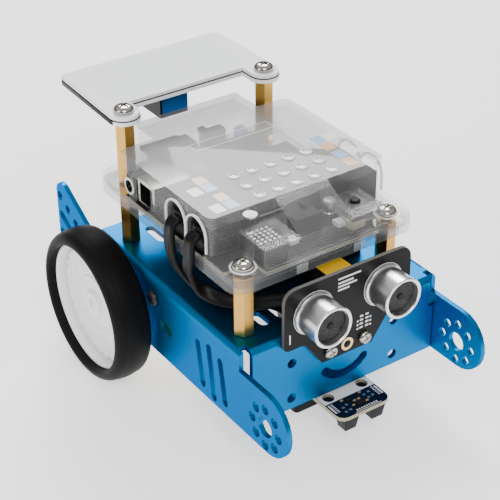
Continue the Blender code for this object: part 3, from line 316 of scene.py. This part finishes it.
def dress_frame():
    """Materials for the CAD nodes that stay."""
    plain = {
        "main_board": PCB, "panel_board": PCB, "sensor_board": PCB, "wireless_module": CHIP,
        "usb_socket": NICKEL, "caster_ball": NICKEL, "battery_pack": BLACK, "buzzer": BLACK,
        "power_jack": BLACK, "board_button": BLACK, "power_switch_lever": BLACK,
        "sensor_socket": BLACK, "line_socket": BLACK, "panel_socket": BLACK,
        "sensor_plug_case": BLACK, "line_plug_case": BLACK, "sensor_plug_far": BLACK, "line_plug_far": BLACK,
    }
    for side, _ in SIDES:
        for row in ("front", "rear"):
            dress(f"lower_standoff_{row}_{side}", BRASS)
            dress(f"cable_socket_{side}_{row}", BLACK, 0.25)
        dress(f"upper_standoff_rear_{side}", BRASS)
        dress(f"gearbox_{side}", GEAR, 0.4)
        dress(f"motor_{side}", NICKEL)
        dress(f"output_shaft_{side}", WHITE)
        dress(f"line_detector_{side}", BLACK, 0.3)
    for node, mat in plain.items():
        dress(node, mat)
    dress("chassis", BLUE, 0.3)
    # The bevel faces of the clear tray and cover take the second material, FROST_AND_EDGE_HIGHLIGHT: a painted
    # highlight along the case edges.
    dress("case_base", TRAY, 0.4, FROST_AND_EDGE_HIGHLIGHT)
    cover = dress("case_cover", COVER, 0.55, FROST_AND_EDGE_HIGHLIGHT)
    cover.data.materials.append(LID_TOP)
    lid = span("case_cover")[1].z
    for face in cover.data.polygons:
        if face.normal.z > 0.9 and face.center.z > (lid - 0.5) * MM:
            face.material_index = 2
    dress("panel_diffuser", MILKY, 0.3)
    dress("caster_housing", BLACK, 0.3)


# ---------------------------------------------------------------- wheels

def make_wheels():
    for name, side in SIDES:
        lo, hi = span(f"tyre_{name}")
        axle = ((lo.y + hi.y) / 2, (lo.z + hi.z) / 2)
        outer, inner = (hi.x, lo.x) if side > 0 else (lo.x, hi.x)
        radius = (hi.z - lo.z) / 2
        body = f"{name}_wheel"
        width = abs(outer - inner)
        bead = 26.7

        def across(t):
            return inner + (outer - inner) * t / width

        shoulder, crown = 4.2, 0.45
        profile = [(bead, across(0.7)), (bead + 0.7, across(0.1)), (bead + 1.1, across(0.0))]
        rise = radius - crown - bead - 1.1
        profile += [(bead + 1.1 + rise * math.sin(math.radians(a)),
                     across(shoulder * (1 - math.cos(math.radians(a)))))
                    for a in range(12, 91, 13)]
        profile += [(radius - crown * (2 * t - 1) ** 2, across(shoulder + (width - 2 * shoulder) * t))
                    for t in (0.1, 0.2, 0.3, 0.4, 0.5, 0.6, 0.7, 0.8, 0.9)]
        profile += [(bead + 1.1 + rise * math.sin(math.radians(a)),
                     across(width - shoulder * (1 - math.cos(math.radians(a))))) for a in range(90, 11, -13)]
        profile += [(bead + 1.1, across(width)), (bead + 0.7, across(width - 0.1)), (bead, across(width - 0.7))]
        bm = bmesh.new()
        turned(bm, profile, "X", axle, 128)
        tyre = piece(f"tyre_tread_{name}", bm, RUBBER, body)
        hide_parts(f"tyre_{name}")

        rim = bead - 0.3
        face = outer - side * 3.6
        web = outer - side * 7.2
        gap = outer - side * 9.4
        back = inner + side * 1.0
        flutes = 26

        def ripple(angle):
            return abs(math.sin(angle * flutes / 2)) ** 0.7 - 1

        profile = [(0, web + side * 0.5), (2.2, web + side * 0.5), (2.6, web + side * 1.6),
                   (5.4, web + side * 1.8), (5.8, web + side * 1.4), (6.4, web + side * 0.2),
                   (10.6, web), (11.0, web + side * 0.5), (12.0, web + side * 0.5), (12.4, web),
                   (20.8, web), (23.9, web, 1.7), (24.3, web - side * 0.4, 1.7), (24.3, gap, 1.7), (25.3, gap),
                   (25.3, face - side * 0.5), (25.7, face), (rim, face), (rim, back),
                   (24.6, back), (24.4, gap - side * 1.4), (7.8, gap - side * 1.4), (7.8, back + side * 1.0),
                   (3.0, back + side * 1.0), (3.0, web - side * 0.8), (0, web - side * 0.8)]
        bm = bmesh.new()
        turned(bm, profile, "X", axle, 26 * 8, ripple)
        for k in range(13):
            angle = 2 * math.pi * k / 13
            centre = (axle[0] + 17.0 * math.cos(angle), axle[1] + 17.0 * math.sin(angle))
            prism(bm, circle(centre, 0.9, 12), "X", *sorted((web - side * 0.5, web + side * 0.35)))
        hub = piece(f"hub_shell_{name}", bm, WHITE, body, smooth=28)
        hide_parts(f"wheel_hub_{name}")


def make_motor_clips():
    """Yellow strap that holds each motor to its gearbox, seen through the hole in the side plate."""
    for name, side in SIDES:
        lo, hi = span(f"motor_{name}")
        wall = span(f"gearbox_{name}")[0 if side < 0 else 1].x
        start, end = sorted((wall - side * 0.1, (hi.x if side > 0 else lo.x) + side * 0.02))
        middle = (lo.z + hi.z) / 2
        bm = bmesh.new()
        prism(bm, rounded((lo.y + 3.0, middle - 7.5), (hi.y - 0.2, middle + 7.5), 1.2), "X", start, end)
        piece(f"motor_clip_{name}", bm, GEAR)


# ---------------------------------------------------------------- screws

def screw_head(name, centre, axis, seat, sign, radius, shank, length, mat, node):
    """Domed pan head with a cross recess, standing for a CAD screw."""
    height = radius * 0.6
    dome = [(radius * math.cos(math.radians(a)) ** 0.55, seat + sign * (0.16 + 0.84 * math.sin(math.radians(a)))
             * height) for a in range(0, 81, 10)]
    profile = [(0, seat - sign * length), (shank * 0.6, seat - sign * length),
               (shank, seat - sign * (length - 0.8)), (shank, seat), (radius * 0.97, seat)]
    profile += dome + [(0, seat + sign * height)]
    bm = bmesh.new()
    turned(bm, profile, axis, centre, 40)
    obj = piece(name, bm, mat)
    arm, half = radius * 0.56, radius * 0.12
    u, v = centre
    cross = [(half, half), (half, arm), (-half, arm), (-half, half), (-arm, half), (-arm, -half),
             (-half, -half), (-half, -arm), (half, -arm), (half, -half), (arm, -half), (arm, half)]
    turn = math.radians(20)
    outline = [(u + a * math.cos(turn) - b * math.sin(turn), v + a * math.sin(turn) + b * math.cos(turn))
               for a, b in cross]
    bm = bmesh.new()
    top = seat + sign * height
    prism(bm, outline, axis, *sorted((top - sign * height * 0.62, top + sign)))
    carve(obj, bm)
    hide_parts(node)


def make_screws():
    for kind, axis, radius, shank, length in (("case", "Z", 4.0, 1.8, 8.0), ("panel", "Z", 4.0, 1.8, 8.5),
                                              ("caster", "Z", 2.8, 1.4, 8.0), ("sensor", "Y", 2.8, 1.2, 7.0),
                                              ("side", "X", 3.2, 1.7, 6.0)):
        for name, side in SIDES:
            lo, hi = span(f"{kind}_screw_{name}")
            mid = (lo + hi) / 2
            if axis == "Z":
                centre, seat, sign = (mid.x, mid.y), lo.z + length, 1
            elif axis == "Y":
                centre, seat, sign = (mid.x, mid.z), hi.y - length, -1
            else:
                centre, sign = (mid.y, mid.z), side
                seat = lo.x + length if side > 0 else hi.x - length
            mat = DARK_STEEL if kind == "side" else NICKEL
            screw_head(f"{kind}_screw_head_{name}", centre, axis, seat, sign, radius, shank, length, mat,
                       f"{kind}_screw_{name}")


# ---------------------------------------------------------------- sensors and circuit boards

def dress_board(node, across, mat=PCB, edge=FIBRE):
    """Solder mask on a board's two faces and a plain material round its edge."""
    obj = dress(node, mat)
    obj.data.materials.append(edge)
    for face in obj.data.polygons:
        if abs(face.normal[across]) < 0.5:
            face.material_index = 1
    return obj


def chips(name, places, body="chassis", mat=CHIP, bevel=0.08):
    """Separate small blocks in one object: each place is (low corner, high corner)."""
    bm = bmesh.new()
    for lo, hi in places:
        box(bm, lo, hi)
    return piece(name, bm, mat, body, bevel)


def make_transducers():
    for name, _ in SIDES:
        node = f"transducer_{name}"
        lo, hi = span(node)
        centre, seat, rim = ((lo.x + hi.x) / 2, (lo.z + hi.z) / 2), hi.y, lo.y
        bm = bmesh.new()
        turned(bm, [(0, seat), (8.6, seat), (8.6, seat - 0.7), (8.3, seat - 1.0), (8.05, seat - 1.1),
                    (8.05, seat - 1.7), (8.1, seat - 1.9), (8.1, rim + 1.1), (8.35, rim + 0.9),
                    (8.35, rim + 0.3), (8.0, rim), (7.3, rim), (7.0, rim + 0.3), (6.9, rim + 3.4),
                    (0, rim + 3.4)], "Y", centre, 96)
        can = piece(f"can_{name}", bm, CAN)
        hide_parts(node)
        bm = bmesh.new()
        turned(bm, [(0, rim + 2.0), (1.6, rim + 2.0), (3.4, rim + 2.2), (6.75, rim + 2.7), (6.75, rim + 3.1),
                    (0, rim + 3.1)], "Y", centre, 64)
        piece(f"can_mesh_{name}", bm, MESH)
        bm = bmesh.new()
        turned(bm, [(0, rim + 1.95), (1.5, rim + 1.95), (1.5, rim + 1.6), (1.1, rim + 1.4), (0, rim + 1.4)],
               "Y", centre, 32)
        piece(f"can_cone_{name}", bm, CHIP)


def make_sensor_board():
    dress_board("sensor_board", 1, edge=DARK_EDGE)
    lo, hi = span("sensor_board")
    face, back = lo.y, hi.y
    bm = bmesh.new()
    for x in (-8.0, 0.0, 8.0):
        turned(bm, [(1.65, face), (2.75, face), (2.75, face - 0.08), (1.65, face - 0.08)], "Y", (x, 42.3), 40)
    piece("hole_plating", bm, GOLD)
    bm = bmesh.new()
    for x, z, w in ((-5.2, 72.4, 10.4), (-5.2, 70.6, 7.0), (-5.2, 69.1, 8.6), (-5.2, 67.6, 5.2)):
        box(bm, (x, face - 0.05, z), (x + w, face, z + 0.75))
    for k in range(4):
        for x in (5.6, 8.2):
            box(bm, (x, face - 0.05, 52.0 - k * 1.7), (x + 1.5, face, 52.8 - k * 1.7))
    for x in (-26.8, 26.1):
        box(bm, (x, face - 0.05, 53.0), (x + 0.6, face, 57.0))
    turned(bm, [(8.75, face), (9.0, face), (9.0, face - 0.05), (8.75, face - 0.05)], "Y", (-16.0, 62.8), 64)
    turned(bm, [(8.75, face), (9.0, face), (9.0, face - 0.05), (8.75, face - 0.05)], "Y", (16.0, 62.8), 64)
    piece("sensor_print", bm, PRINT)
    chips("sensor_pads", [((x, face - 0.12, 50.2 - k * 1.7), (x + 0.8, face, 51.0 - k * 1.7))
                          for k in range(3) for x in (4.2, 10.2)], mat=SOLDER)
    chips("sensor_chips", [((11.0, back, 60.0), (17.0, back + 1.5, 64.0)),
                           ((-18.0, back, 58.0), (-12.5, back + 1.5, 62.0)),
                           ((-24.0, back, 66.0), (-21.0, back + 1.1, 69.0)),
                           ((20.0, back, 54.0), (23.0, back + 1.0, 56.0))])
    chips("sensor_passives", [((x, back, z), (x + 1.0, back + 0.6, z + 1.8))
                              for x in (-25, -20, 10, 19, 22, 25) for z in (53, 58, 71)], mat=CERAMIC)
    low, high = span("sensor_socket")
    label = bmesh.new()
    outline = rounded((low.x + 0.9, low.y + 0.8), (high.x - 0.9, high.y - 0.8), 0.5)
    prism(label, outline, "Z", high.z, high.z + 0.15)
    piece("sensor_socket_label", label, YELLOW)
    chips("sensor_socket_pins", [((low.x + 2.6 + k * 1.3, back, low.z - 1.2),
                                  (low.x + 3.1 + k * 1.3, back + 0.5, low.z)) for k in range(6)], mat=GOLD)


def make_line_board():
    dress_board("line_board", 2, NAVY)
    lo, hi = span("line_board")
    top = hi.z
    bm = bmesh.new()
    prism(bm, rounded((lo.x + 0.2, lo.y + 10.4), (hi.x - 0.2, lo.y + 16.2), 0.3), "Z", top, top + 0.06)
    strip = piece("line_strip", bm, PRINT)
    holes = bmesh.new()
    for x in (-8.0, 8.0):
        prism(holes, circle((x, lo.y + 13.4), 2.35, 32), "Z", top - 1, top + 1)
    carve(strip, holes)
    bm = bmesh.new()
    for side in (-1, 1):
        prism(bm, [(side * 11.3, lo.y + 4.2), (side * 10.6, lo.y + 4.2), (side * 10.6, lo.y + 9.6),
                   (side * 11.3, lo.y + 9.6)], "Z", top, top + 0.05)
        for k in range(6):
            box(bm, (side * 9.6 - 0.45, lo.y + 4.4 + k * 0.95, top), (side * 9.6 + 0.45, lo.y + 4.8 + k * 0.95,
                                                                      top + 0.05))
    for k in range(9):
        box(bm, (-3.6 + k * 1.15, lo.y + 1.2, top), (-3.0 + k * 1.15, lo.y + 2.0, top + 0.05))
    box(bm, (-4.6, lo.y + 0.5, top), (7.4, lo.y + 0.75, top + 0.05))
    piece("line_print", bm, PRINT)
    bm = bmesh.new()
    for x in (-8.0, 8.0):
        turned(bm, [(0, top - 1.2), (1.9, top - 1.2), (1.9, top - 0.7), (1.3, top - 0.45), (0, top - 0.4)], "Z",
               (x, lo.y + 13.4), 24)
    piece("line_mount_pegs", bm, BLACK)
    chips("line_pads", [((x - 0.6, y - 0.5, top), (x + 0.6, y + 0.5, top + 0.25)) for x, y in
                        [(-7.4, lo.y + 3.0), (-5.2, lo.y + 3.3), (-7.0, lo.y + 5.6), (-4.8, lo.y + 6.4),
                         (5.0, lo.y + 5.2), (7.2, lo.y + 5.6), (4.4, lo.y + 7.4), (7.0, lo.y + 8.0)]], mat=SOLDER)
    chips("line_chips", [((-1.6, lo.y + 3.2, top), (1.8, lo.y + 5.4, top + 0.9)),
                         ((-3.6, lo.y + 7.6, top), (-1.8, lo.y + 8.8, top + 0.6)),
                         ((1.2, lo.y + 7.2, top), (2.6, lo.y + 8.4, top + 0.6))])
    chips("line_passives", [((x, y, top), (x + 1.2, y + 0.7, top + 0.45)) for x, y in
                            [(-1.4, lo.y + 6.2), (0.6, lo.y + 6.2), (2.6, lo.y + 3.6), (-3.4, lo.y + 4.2),
                             (3.2, lo.y + 9.0), (-5.6, lo.y + 8.8)]], mat=CERAMIC)
    bm = bmesh.new()
    for name, _ in SIDES:
        low, high = span(f"line_detector_{name}")
        for shift in (-1.1, 1.1):
            centre = ((low.x + high.x) / 2, (low.y + high.y) / 2 + shift)
            turned(bm, [(0, low.z + 0.4), (0.85, low.z + 0.4), (0.85, low.z - 0.1), (0.6, low.z - 0.4),
                        (0, low.z - 0.5)], "Z", centre, 20)
    piece("detector_lenses", bm, CHIP)


def make_panel_details():
    panel = dress_board("panel_board", 2, edge=MILKY)
    panel.data.materials.append(PCB)
    for face in panel.data.polygons:
        if face.normal.x < -0.9 and face.center.x < -0.03:
            face.material_index = 2
    low, high = span("panel_socket")
    bm = bmesh.new()
    prism(bm, rounded((low.x + 0.9, low.z + 1.6), (high.x - 0.3, high.z - 0.4), 0.4), "Y", low.y - 0.15, low.y)
    piece("panel_socket_label", bm, SKY)
    lo, _ = span("panel_board")
    under = lo.z
    chips("panel_chips", [((-34, 52, under - 1.6), (-24, 58, under)), ((8, 52, under - 1.6), (18, 58, under)),
                          ((-30, 66, under - 1.2), (-24, 70, under)), ((14, 66, under - 1.2), (20, 70, under))])
    chips("panel_passives", [((-20 + k * 3.0, 68, under - 0.6), (-18.2 + k * 3.0, 69, under))
                             for k in range(11)], mat=CERAMIC)
    top = span("panel_diffuser")[1].z
    bm = bmesh.new()
    for i in range(16):
        for j in range(8):
            x, y = lo.x + 8.0 + i * 4.0, lo.y + 16.5 + j * 4.0
            box(bm, (x - 1.3, y - 1.3, top), (x + 1.3, y + 1.3, top + 0.04))
    piece("panel_windows", bm, MILKY)


def make_board_details():
    dress_board("main_board", 2)
    top = BOARD_TOP
    lo, hi = span("main_board")
    middle = (lo.y + hi.y) / 2
    chips("board_chips", [((-9.5, -13.5, top + 1.2), (1.5, -2.5, top + 1.5)),
                          ((-20, 6, top), (-14, 14, top + 1.6)), ((6, 2, top), (14, 8, top + 1.6)),
                          ((8, -20, top), (14, -14, top + 1.4)), ((-4, 16, top), (10, 24, top + 1.2))])
    chips("board_pins", [((-9.5 + k * 1.1, -14.6 + s * 12.2, top), (-9.0 + k * 1.1, -13.4 + s * 12.2, top + 0.9))
                         for k in range(10) for s in (0, 1)], mat=SOLDER)
    chips("board_passives", [((x, middle + y, top), (x + 1.8, middle + y + 1.0, top + 0.7))
                             for x in (-18, -12, -2, 4, 12, 16) for y in (-24, -8, 2, 10, 26)], mat=CERAMIC)
    bm = bmesh.new()
    for x, y, r, h in ((-18, -20, 3.1, 7.5), (-14, 22, 3.1, 7.5), (14, 20, 2.5, 6.0), (14, -26, 2.5, 6.0)):
        turned(bm, [(0, top), (r, top), (r, top + 0.8), (r - 0.25, top + 1.1), (r, top + 1.4), (r, top + h - 0.4),
                    (r - 0.4, top + h), (0, top + h)], "Z", (x, y), 32)
    piece("board_capacitors", bm, CAN)
    chips("board_connectors", [((15.5, 27.5, top), (24.0, 35.0, top + 7.0)),
                               ((-6.0, -32.0, top), (6.0, -26.5, top + 6.0))], mat=BLACK, bevel=0.3)
    chips("board_leds", [((-12 + k * 22, -37, top), (-8 + k * 22, -33, top + 1.8)) for k in range(2)], mat=MILKY)
    bm = bmesh.new()
    for k in range(6):
        for x in (-16.0, 12.0):
            box(bm, (x - 0.3, 12.0 + k * 2.54, top), (x + 0.3, 12.6 + k * 2.54, top + 6.0))
    piece("board_headers", bm, GOLD)
    low, high = span("wireless_module")
    chips("module_shield", [((low.x + 2.0, low.y - 0.6, 82.0), (high.x - 4.5, low.y + 1.5, 87.5))],
          mat=NICKEL, bevel=0.2)
    chips("module_board", [((-28.0, 31.0, high.z + 0.05), (-11.0, 42.0, high.z + 1.6))], mat=CHIP,
          bevel=0.1)


# ---------------------------------------------------------------- clear case

def arch(y, half, low, high):
    """Outline of a port: straight sides under a half circle."""
    return [(y - half, low), (y + half, low)] + arc((y, high - half), half, 0, 180, 12)


def make_case_details():
    lo, hi = span("case_cover")
    top, front = hi.z, lo.y
    middle = (lo.x + hi.x) / 2 + 1.3
    bm = bmesh.new()
    for row in (22.2, 30.5, 38.9):
        for k in range(-2, 3):
            centre = (middle + k * 8.25, front + row)
            turned(bm, [(1.25, top - 0.2), (2.5, top - 0.2), (2.55, top + 0.25), (2.2, top + 0.6),
                        (1.75, top + 0.65), (1.4, top + 0.35)], "Z", centre, 32)
    piece("lid_rings", bm, FROST_AND_EDGE_HIGHLIGHT)
    bm = bmesh.new()
    for row in (22.2, 30.5, 38.9):
        for k in range(-2, 3):
            turned(bm, [(0, top), (1.2, top), (1.2, top + 0.08), (0, top + 0.08)], "Z",
                   (middle + k * 8.25, front + row), 24)
    piece("lid_ring_cores", bm, PATCH_WHITE)

    def patches(name, mat, places):
        plates = bmesh.new()
        for x, y in places:
            prism(plates, rounded((x - 2.35, y - 2.9), (x + 2.35, y + 2.9), 0.35, 2), "Z", top, top + 0.06)
        piece(name, plates, mat)

    left, right = lo.x + 13.7, hi.x - 13.9
    patches("lid_orange", PATCH_ORANGE, [(left + 0.3, front + 43.4), (left, front + 29.0), (right, front + 37.8),
                                         (right - 0.4, front + 23.4)])
    patches("lid_blue", PATCH_BLUE, [(left, front + 37.3), (left, front + 22.9), (right + 0.2, front + 44.0),
                                     (right, front + 30.2)])
    patches("lid_white", PATCH_WHITE, [(left - 5.6, front + 37.3), (left - 5.6, front + 22.9),
                                       (right + 6.0, front + 44.0), (right + 6.0, front + 30.2)])
    ledge = SPEAKER_LEDGE
    bm = bmesh.new()
    for i in range(5):
        for j in range(5):
            turned(bm, [(0, ledge), (0.62, ledge), (0.55, ledge + 0.25), (0, ledge + 0.35)], "Z",
                   (lo.x + 15.0 + i * 2.0, front + 6.0 + j * 2.0), 12)
    piece("speaker_dots", bm, PRINT)
    bm = bmesh.new()
    (x0, y0), (x1, y1) = LID_FRAME
    for low, high in (((x0, y0), (x1, y0 + 0.35)), ((x0, y1 - 0.35), (x1, y1)),
                      ((x0, y0 + 0.4), (x0 + 0.35, y1 - 0.4)),
                      ((x1 - 0.35, y0 + 0.4), (x1, y1 - 0.4))):
        box(bm, (*low, top), (*high, top + 0.08))
    piece("lid_outline", bm, FROST_AND_EDGE_HIGHLIGHT)
    bm = bmesh.new()
    for y in (front + 26.6, front + 40.2):
        for side, wall in ((-1, lo.x + 1.5), (1, hi.x - 1.5)):
            outer = arch(y, 7.0, 83.0, 95.9)
            inner = arch(y, 6.25, 83.0, 95.1)
            start, end = sorted((wall, wall + side * 0.9))
            rings = [[bm.verts.new(at("X", u, v, w)) for u, v in loop] for loop in (outer, inner)
                     for w in (start, end)]
            count = len(outer)
            for a, b in ((0, 1), (1, 3), (3, 2), (2, 0)):
                for i in range(1, count):
                    j = (i + 1) % count
                    bm.faces.new((rings[a][i], rings[a][j], rings[b][j], rings[b][i]))
            for i in (0, 1):
                bm.faces.new((rings[0][i], rings[1][i], rings[3][i], rings[2][i]))
    bmesh.ops.recalc_face_normals(bm, faces=bm.faces)
    piece("port_lips", bm, FROST_AND_EDGE_HIGHLIGHT, bevel=0.2)
    bm = bmesh.new()
    base_lo, base_hi = span("case_base")
    for x in (-18.0, 8.0, 24.0):
        box(bm, (x, base_lo.y - 0.5, base_lo.z + 0.6), (x + 5.0, base_lo.y, base_lo.z + 4.2))
    for x in (-26.0, 14.0):
        box(bm, (x, base_hi.y, base_lo.z + 0.6), (x + 5.0, base_hi.y + 0.5, base_lo.z + 4.2))
    for y in (-22.0, 14.0):
        box(bm, (base_hi.x, y, base_lo.z + 0.6), (base_hi.x + 0.5, y + 6.0, base_lo.z + 4.2))
    piece("tray_clips", bm, CLIP, bevel=0.15)
    bm = bmesh.new()
    for name, _ in SIDES:
        low, high = span(f"case_screw_{name}")
        centre = ((low.x + high.x) / 2, (low.y + high.y) / 2)
        turned(bm, [(4.3, 82.6), (5.0, 82.6), (5.0, 83.0), (4.3, 83.0)], "Z", centre, 40)
    piece("screw_seats", bm, FROST_AND_EDGE_HIGHLIGHT)
    jack = span("power_jack")
    bm = bmesh.new()
    y = (jack[0].y + jack[1].y) / 2
    turned(bm, [(2.5, lo.x + 3.1), (3.6, lo.x + 3.1), (3.6, lo.x + 2.3), (2.5, lo.x + 2.3)], "X",
           (y, jack[0].z + 5.0), 32)
    piece("jack_ring", bm, NICKEL)


# ---------------------------------------------------------------- cables

def smooth_path(points, steps):
    points = [Vector(p) for p in points]
    ends = [points[0] * 2 - points[1]] + points + [points[-1] * 2 - points[-2]]
    path = []
    for a, b, c, d in zip(ends, ends[1:], ends[2:], ends[3:]):
        for i in range(steps):
            t = i / steps
            path.append(0.5 * ((2 * b) + (c - a) * t + (2 * a - 5 * b + 4 * c - d) * t * t
                               + (3 * b - a - 3 * c + d) * t ** 3))
    return path + [points[-1]]


def flat_cable(name, node, points, start, end):
    """Flat four-wire cable along the route of its CAD node, with a shallow valley down each face."""
    path = smooth_path(points, 8)
    half_w, half_t = 2.95, 1.15
    section = []
    for u, v in rounded((-half_w, -half_t), (half_w, half_t), 1.05, 4):
        section.append((u, v))
    top = [(u, half_t - 0.16 * math.cos(math.pi * u / 3.8) ** 2) for u in (1.4, 0.7, 0.0, -0.7, -1.4)]
    low = [(-u, -v) for u, v in top]
    section = section[:10] + top + section[10:] + low
    start, end = Vector(start), Vector(end)
    bm = bmesh.new()
    rings = []
    for i, point in enumerate(path):
        ahead = path[min(i + 1, len(path) - 1)] - path[max(i - 1, 0)]
        t = i / (len(path) - 1)
        t = t * t * (3 - 2 * t)
        wide = start.lerp(end, t)
        wide = (wide - wide.project(ahead)).normalized()
        up = ahead.cross(wide).normalized()
        rings.append([bm.verts.new((point + wide * u + up * v) * MM) for u, v in section])
    for low_ring, high_ring in zip(rings, rings[1:]):
        for i in range(len(section)):
            j = (i + 1) % len(section)
            bm.faces.new((low_ring[i], low_ring[j], high_ring[j], high_ring[i]))
    bm.faces.new(rings[0])
    bm.faces.new(rings[-1])
    bmesh.ops.recalc_face_normals(bm, faces=bm.faces)
    cable = piece(name, bm, JACKET, smooth=50)
    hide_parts(node)


def make_cables():
    flat_cable("sensor_lead", "sensor_cable",
               [(-42.65, -22.225, 87.8), (-43.85, -22.225, 87.7), (-45.9, -22.225, 85.5), (-46.4, -22.025, 79.0),
                (-46.0, -20.825, 72.5), (-43.8, -22.425, 66.8), (-40.0, -26.625, 63.0), (-35.4, -31.625, 61.2),
                (-30.2, -37.325, 61.6), (-24.0, -43.025, 63.4), (-18.5, -47.625, 64.8),
                (-12.9, -49.025, 65.1)], (0, 1, 0), (0, 0, 1))
    flat_cable("line_lead", "line_cable",
               [(-42.65, -8.625, 87.8), (-43.85, -8.625, 87.7), (-45.9, -8.725, 85.3), (-46.4, -9.025, 79.0),
                (-46.0, -10.225, 72.6), (-44.3, -13.025, 67.2), (-41.6, -16.825, 62.6), (-38.0, -22.025, 59.6),
                (-33.4, -28.025, 58.0), (-28.0, -32.525, 57.6), (-21.5, -36.425, 57.2), (-16.4, -38.225, 52.5),
                (-15.6, -36.625, 45.0), (-19.4, -32.225, 37.0), (-20.2, -27.025, 30.2), (-17.4, -25.525, 26.9),
                (-12.9, -25.525, 26.5)], (0, 1, 0), (0, 1, 0))


# ---------------------------------------------------------------- set, light and camera

def make_stage():
    bm = bmesh.new()
    bmesh.ops.create_grid(bm, x_segments=1, y_segments=1, size=FLOOR_SIZE)
    mesh = bpy.data.meshes.new("floor")
    bm.to_mesh(mesh)
    bm.free()
    floor = bpy.data.objects.new("floor", mesh)
    pale = surface("studio_floor", (0.9, 0.9, 0.905), 0.75, grain=20, bump=0.01, tint=0.01)
    shader = pale.node_tree.nodes["Principled BSDF"]
    shader.inputs["Emission Color"].default_value = (1, 1, 1, 1)
    shader.inputs["Emission Strength"].default_value = 1.0
    mesh.materials.append(pale)
    bpy.context.collection.objects.link(floor)


def area_light(name, place, aim, size, energy):
    lamp = bpy.data.lights.new(name, "AREA")
    lamp.energy = energy
    lamp.size = size
    obj = bpy.data.objects.new(name, lamp)
    obj.location = place
    obj.rotation_euler = (Vector(aim) - Vector(place)).to_track_quat("-Z", "Y").to_euler()
    bpy.context.collection.objects.link(obj)


def make_light():
    """Soft studio: bright above, darker towards the horizon, so that metal shows light and dark."""
    world = bpy.data.worlds.new("studio")
    world.use_nodes = True
    nodes, links = world.node_tree.nodes, world.node_tree.links
    place = nodes.new("ShaderNodeTexCoord")
    split = nodes.new("ShaderNodeSeparateXYZ")
    links.new(place.outputs["Generated"], split.inputs[0])
    height = nodes.new("ShaderNodeValToRGB")
    height.color_ramp.elements[0].position = 0.1
    height.color_ramp.elements[0].color = (0.10, 0.11, 0.12, 1)
    height.color_ramp.elements[1].position = 0.75
    height.color_ramp.elements[1].color = (1.0, 1.0, 1.0, 1)
    links.new(split.outputs["Z"], height.inputs[0])
    links.new(height.outputs["Color"], nodes["Background"].inputs["Color"])
    nodes["Background"].inputs["Strength"].default_value = 0.7
    bpy.context.scene.world = world
    area_light("key", (-0.35, -0.75, 0.85), (0, 0, 0.05), 0.4, 7)
    area_light("fill", (-0.9, 0.1, 0.5), (0, 0, 0.05), 0.35, 3)
    area_light("back", (0.5, 0.8, 0.9), (0, 0, 0.08), 0.5, 15)


def make_camera():
    lens = bpy.data.cameras.new("camera")
    lens.lens = LENS
    lens.sensor_width = SENSOR_WIDTH
    lens.clip_start = 0.01
    camera = bpy.data.objects.new("camera", lens)
    right = Vector(CAMERA_RIGHT).normalized()
    back = Vector(CAMERA_BACK).normalized()
    up = back.cross(right).normalized()
    turn = Matrix((right, up, back)).transposed()
    camera.matrix_world = Matrix.Translation(CAMERA_PLACE) @ turn.to_4x4()
    bpy.context.collection.objects.link(camera)
    bpy.context.scene.camera = camera


make_camera()
make_cables()
dress_frame()
make_wheels()
make_motor_clips()
make_screws()
make_transducers()
make_sensor_board()
make_line_board()
make_panel_details()
make_board_details()
make_case_details()
make_light()
make_stage()
